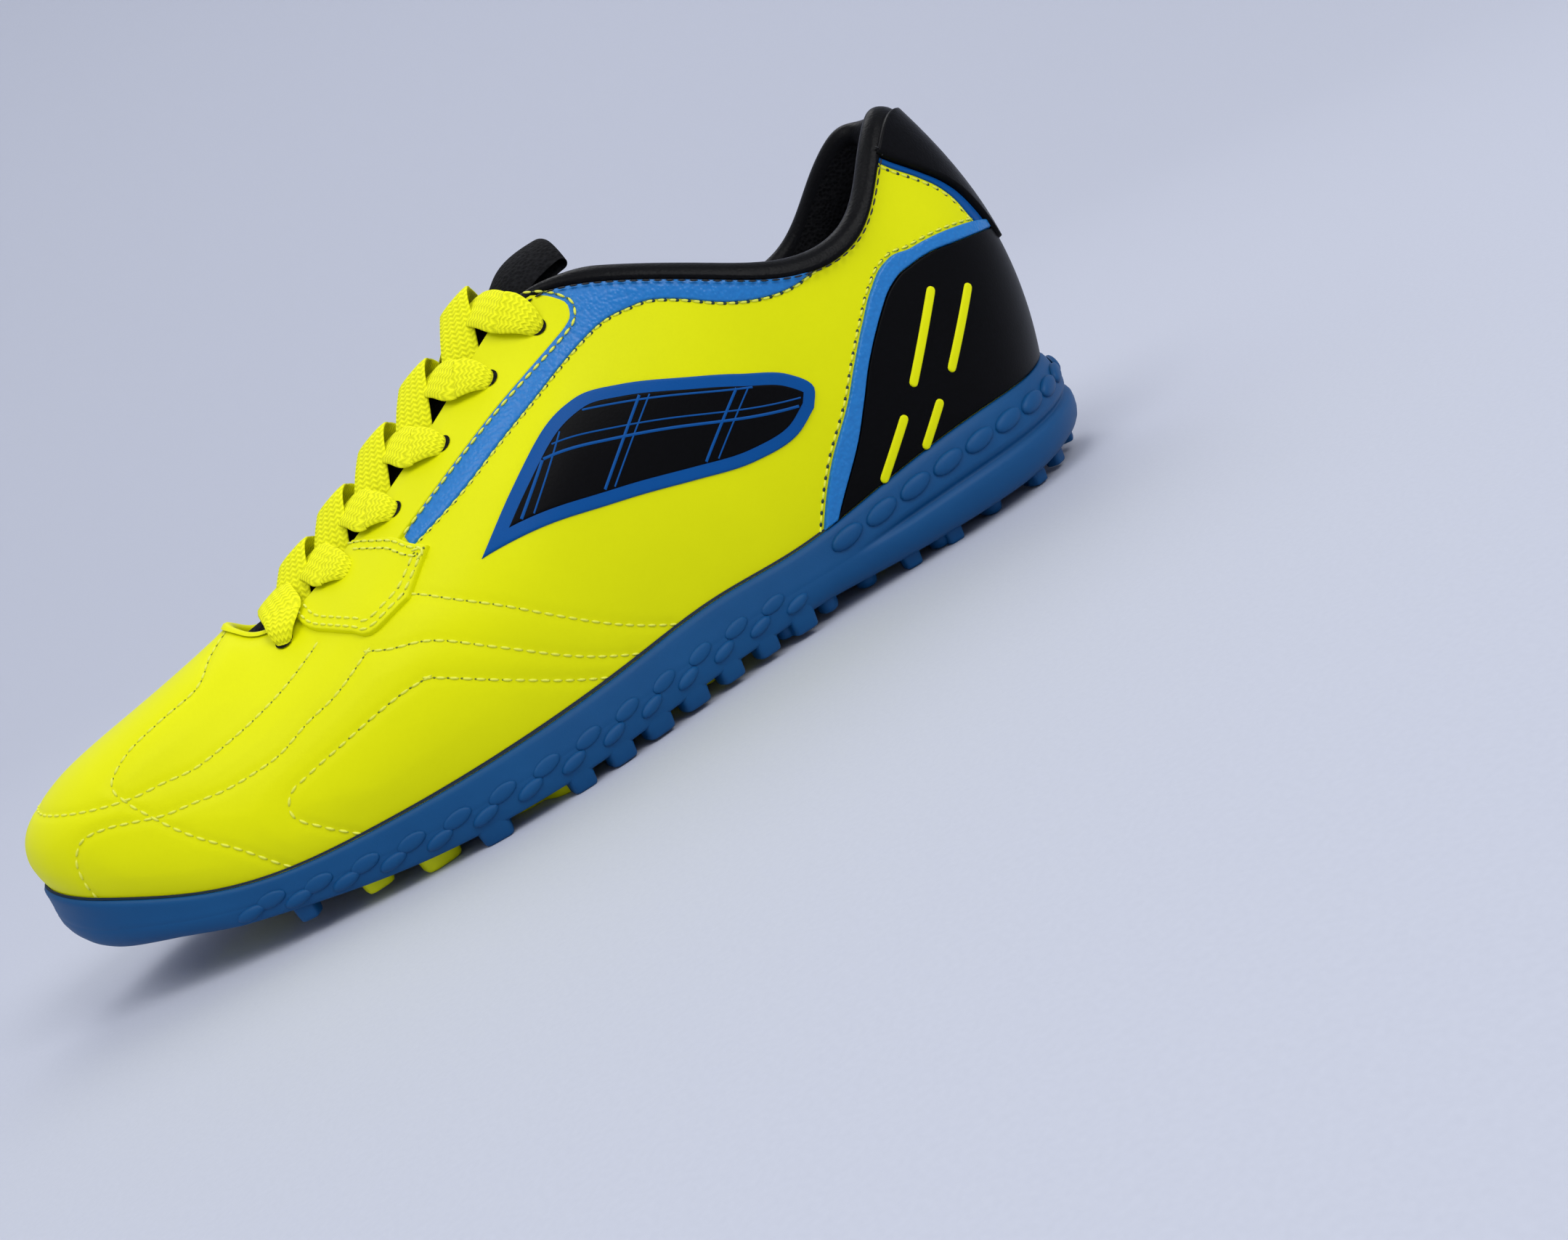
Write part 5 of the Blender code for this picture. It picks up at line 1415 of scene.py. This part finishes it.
# Underside
POD_HUB = 0.0146 * LENGTH
LOBE_RADIUS = 0.0122 * LENGTH
LOBE_SHARPNESS = 5.0
POD_DOME = ((0.0, -0.0020), (0.0, 0.0), (0.0, 0.55), (0.0003, 0.80), (0.0009, 0.95), (0.0018, 1.0))
STUD_PITCH = 0.045 * LENGTH
STUD_RADIUS = 0.0146 * LENGTH
STUD_START = (-0.021, 0.117)
ROW_SPACING = 0.62
STUD_SLANT = 0.10
RIDGE_PITCH = 0.0074
RIDGE_HEIGHT = 0.0008
DOWN = (0.0, 0.0, -1.0)


def stud_height(x):
    """How far the studs stand out at a place along the sole: down to the floor where it is near."""
    base = underside_at(x)
    return STUD_HEIGHT if base - STUD_HEIGHT > 0.0006 else base


def single_studs(table):
    """Studs from a table of their places, half lengths and half widths in 1/1000 of LENGTH, and headings."""
    studs = []
    for x_share, y_share, long, short, heading in table:
        x, y = at(x_share, y_share)
        turn = math.radians(heading)
        studs.append(((x, y, underside_at(x)), DOWN, (math.cos(turn), math.sin(turn), 0.0),
                      (long * LENGTH / 1000, short * LENGTH / 1000, stud_height(x) - 0.0001)))
    return studs


def closed_curve(places, per_side):
    """A smooth closed curve through a plan outline's places."""
    plan = np.array([at(*place) for place in places])
    slope = spline_tangents(plan)
    t = (np.arange(per_side) / per_side)[None, :, None]
    here, there = plan[:, None, :], np.roll(plan, -1, 0)[:, None, :]
    leave, reach = slope[:, None, :], np.roll(slope, -1, 0)[:, None, :]
    return curve(t, here, leave, there, reach).reshape(-1, 2)


def on_sole(plan, inset):
    """A plan outline kept inside the sole's medial edge."""
    edge = plan_edges(plan[:, 0], inset)[1]
    return np.column_stack([plan[:, 0], np.minimum(plan[:, 1], edge)])


def pod_plan(centre, lobes, grow):
    """The three-lobed outline of a pod."""
    angle = 2 * math.pi * np.arange(72) / 72
    reach = POD_HUB + grow
    for heading, length in lobes:
        near = np.exp(LOBE_SHARPNESS * (np.cos(angle - math.radians(heading)) - 1))
        reach = reach + (length * LENGTH + LOBE_RADIUS - POD_HUB) * near
    return centre + np.column_stack([np.cos(angle), np.sin(angle)]) * reach[:, None]


def underside_sheet(name, rings, material):
    """A sheet over closed rings of points, facing down."""
    points = np.stack(rings, axis=1)
    return grid_piece(name, points, material, closed=True,
                      toward=np.broadcast_to(DOWN, points.shape))


def make_insert():
    """The neon turf insert with its ridges, oval studs, and thin dark marks painted as the shade in the cuts
    of the studs.
    """
    plan = on_sole(closed_curve(INSERT_OUTLINE, 14), 0.0022)
    centre = at(-0.03, 0.25)
    rings = []
    for share in (1.0, 0.994, 0.986, *np.linspace(0.97, 0.01, 44)):
        ring = centre + (plan - centre) * share
        bend = np.sin(ring[:, 1] * 45.0) * 0.004
        ridge = 0.5 + 0.5 * np.sin(2 * math.pi * (ring[:, 0] + 0.25 * ring[:, 1] + bend) / RIDGE_PITCH)
        proud = 0.0 if share == 1.0 else 0.0003 + RIDGE_HEIGHT * ridge * min(1.0, (1 - share) / 0.05)
        rings.append(np.column_stack([ring, underside_at(ring[:, 0]) - proud]))
    placed(underside_sheet("insert_face", rings, NEON_RUBBER), "turf_insert")
    rim = [np.column_stack([centre + (plan - centre) * share, underside_at(plan[:, 0]) - 0.00012])
           for share in (1.014, 1.0)]
    placed(underside_sheet("insert_shadow_line", rim, PAINTED_SHADOW))

    studs, marks = [], []
    for row in range(-8, 9):
        for place in range(-9, 10):
            x = STUD_START[0] * LENGTH + (place + 0.5 * (row % 2)) * STUD_PITCH
            y = STUD_START[1] * BALL_WIDTH + row * STUD_PITCH * ROW_SPACING - STUD_SLANT * x
            room = np.linalg.norm(plan - (x, y), axis=1).min()
            if not within(np.array([[x, y]]), plan)[0] or room < 0.9 * STUD_RADIUS:
                continue
            size = STUD_RADIUS * (1.22 - 0.60 * x / LENGTH)
            turn = 0.55 - 9.0 * (y - 0.010) + 0.25 * math.sin(3.0 * place)
            along = (math.cos(turn), math.sin(turn), 0.0)
            height = stud_height(x)
            base = underside_at(x)
            studs.append(((x, y, base), DOWN, along, (size, 0.58 * size, height - 0.0001)))
            # Thin dark marks across each stud's face, painted as the shade in its cuts
            for k in range(1 + (row + place) % 2):
                aside = (math.cos(turn + 1.3 + 1.2 * k), math.sin(turn + 1.3 + 1.2 * k), 0.0)
                marks.append(((x, y, base - height + 0.00012), DOWN, aside,
                              (0.40 * size, 0.00022, 0.00006)))
    studded("insert_studs", studs, turned(OVAL, 14, 1.18), NEON_RUBBER)
    studded("insert_stud_cuts", marks, turned(FLAT_MARK, 8), NEON_PAINTED_SHADE)


def make_pods():
    """The three-lobed neon pods with a flat dark oval painted as the shade of a dimple on each lobe, and the
    single studs between them.
    """
    dimple_shades = []
    for name, place, lobes in PODS:
        centre = at(*place)
        base, height = underside_at(centre[0]), stud_height(centre[0])
        rings = [np.column_stack([pod_plan(centre, lobes, -inset), np.full(72, base - height * level)])
                 for inset, level in POD_DOME]
        top = rings[-1]
        middle = np.append(centre, base - height)
        rings += [middle + (top - middle) * share for share in (0.6, 0.3, 0.02)]
        placed(underside_sheet(name + "_face", rings, NEON_RUBBER), name)
        line = [np.column_stack([pod_plan(centre, lobes, grow), np.full(72, base - 0.00012)])
                for grow in (0.0011, 0.0)]
        placed(underside_sheet(name + "_shadow_line", line, PAINTED_SHADOW))
        # A flat dark oval on each lobe, painted as the shade of a dimple
        for heading, length in lobes:
            turn = math.radians(heading)
            out = np.array([math.cos(turn), math.sin(turn)])
            spot = centre + out * length * LENGTH * 0.74
            dimple_shades.append(((*spot, base - height + 0.00002), DOWN, (*out, 0.0),
                            (0.0025, 0.0011, 0.00006)))
    studded("pod_dimples", dimple_shades, turned(FLAT_MARK, 16), NEON_PAINTED_SHADE)
    studded("sole_studs", single_studs(SOLE_STUDS), turned(OVAL, 16), BLUE_RUBBER)
    studded("outer_edge_lugs", single_studs(NEON_LUGS), turned(BLOCK, 20, 0.55), NEON_RUBBER)


# Backdrop, light and camera
LIGHTS = (
    ("key", (-0.8, -0.8, 2.2), 1.4, 18.0),
    ("fill", (0.9, -1.2, 1.5), 1.0, 15.0),
    ("back", (0.4, 1.3, 1.9), 1.2, 10.0),
)
SHOE_MIDDLE = Vector((0.0, 0.0, 0.05))
CAMERA_PLACE = (-0.0545, -0.3982, 0.0963)
CAMERA_TURN = (-13.8, 13.5, -27.5)
CAMERA_LENS = 36.0 * 2200 / 2159
BACKDROP_SIDES = 96


def make_backdrop():
    """A pale round floor that curves up into a low wall far round the shoe."""
    flat, curve = 0.75, 1.7
    rise = np.linspace(0, math.pi / 2, 40)
    profile = [(0.02, 0.0), (0.3, 0.0), (flat, 0.0)]
    profile += [(flat + curve * math.sin(a), curve * (1 - math.cos(a))) for a in rise[1:]]
    radius, height = np.array(profile).T
    sides = BACKDROP_SIDES
    angle = 2 * math.pi * np.arange(sides) / sides
    points = np.stack([np.cos(angle)[:, None] * radius, np.sin(angle)[:, None] * radius,
                       np.tile(height, (sides, 1))], axis=-1)
    mesh = bpy.data.meshes.new("backdrop")
    across = len(profile)
    faces = [((i + 1) % sides * across + j, (i + 1) % sides * across + j + 1, i * across + j + 1,
              i * across + j) for i in range(sides) for j in range(across - 1)]
    faces.append([i * across for i in reversed(range(sides))])
    mesh.from_pydata(points.reshape(-1, 3).tolist(), [], faces)
    mesh.shade_smooth()
    floor = linked("backdrop", mesh)
    shader = Shader("pale_paper")
    fibres = shader.noise(900.0)
    base = shader.mix(fibres, (0.48, 0.50, 0.57), (0.52, 0.54, 0.61))
    mesh.materials.append(shader.finish({"Base Color": base, "Roughness": 0.7}))


def make_scene():
    """Backdrop, light and camera."""
    make_backdrop()
    world = bpy.data.worlds.new("studio")
    bpy.context.scene.world = world
    world.use_nodes = True
    sky = world.node_tree.nodes["Background"].inputs
    sky["Color"].default_value = (0.80, 0.84, 0.95, 1.0)
    sky["Strength"].default_value = 0.72

    for name, place, size, power in LIGHTS:
        data = bpy.data.lights.new(name, "AREA")
        data.size = size
        data.energy = power
        lamp = linked(name, data)
        lamp.location = place
        lamp.rotation_euler = (SHOE_MIDDLE - Vector(place)).to_track_quat("-Z", "Y").to_euler()

    azimuth, elevation, roll = (math.radians(angle) for angle in CAMERA_TURN)
    forward = Vector((-math.sin(azimuth) * math.cos(elevation), math.cos(azimuth) * math.cos(elevation),
                      -math.sin(elevation)))
    level = forward.cross(Vector((0, 0, 1))).normalized()
    upright = level.cross(forward)
    right = math.cos(roll) * level + math.sin(roll) * upright
    up = -math.sin(roll) * level + math.cos(roll) * upright
    data = bpy.data.cameras.new("camera")
    data.sensor_width = 36.0
    data.lens = CAMERA_LENS
    camera = linked("camera", data)
    turn = Matrix((right, up, -forward)).transposed()
    camera.matrix_world = Matrix.Translation(CAMERA_PLACE) @ turn.to_4x4()
    bpy.context.scene.camera = camera
    bpy.context.scene.view_settings.view_transform = "Standard"


placed(make_upper(), "upper")
make_panels()
make_counter()
make_tab()
make_badge()
make_stitches()
make_collar()
make_tongue()
make_laces()
make_eyelets()
make_sole_wall()
make_sole_base()
make_wall_bumps()
make_insert()
make_pods()
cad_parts["insole"].data.materials.clear()
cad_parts["insole"].data.materials.append(BLACK_CLOTH)
make_scene()
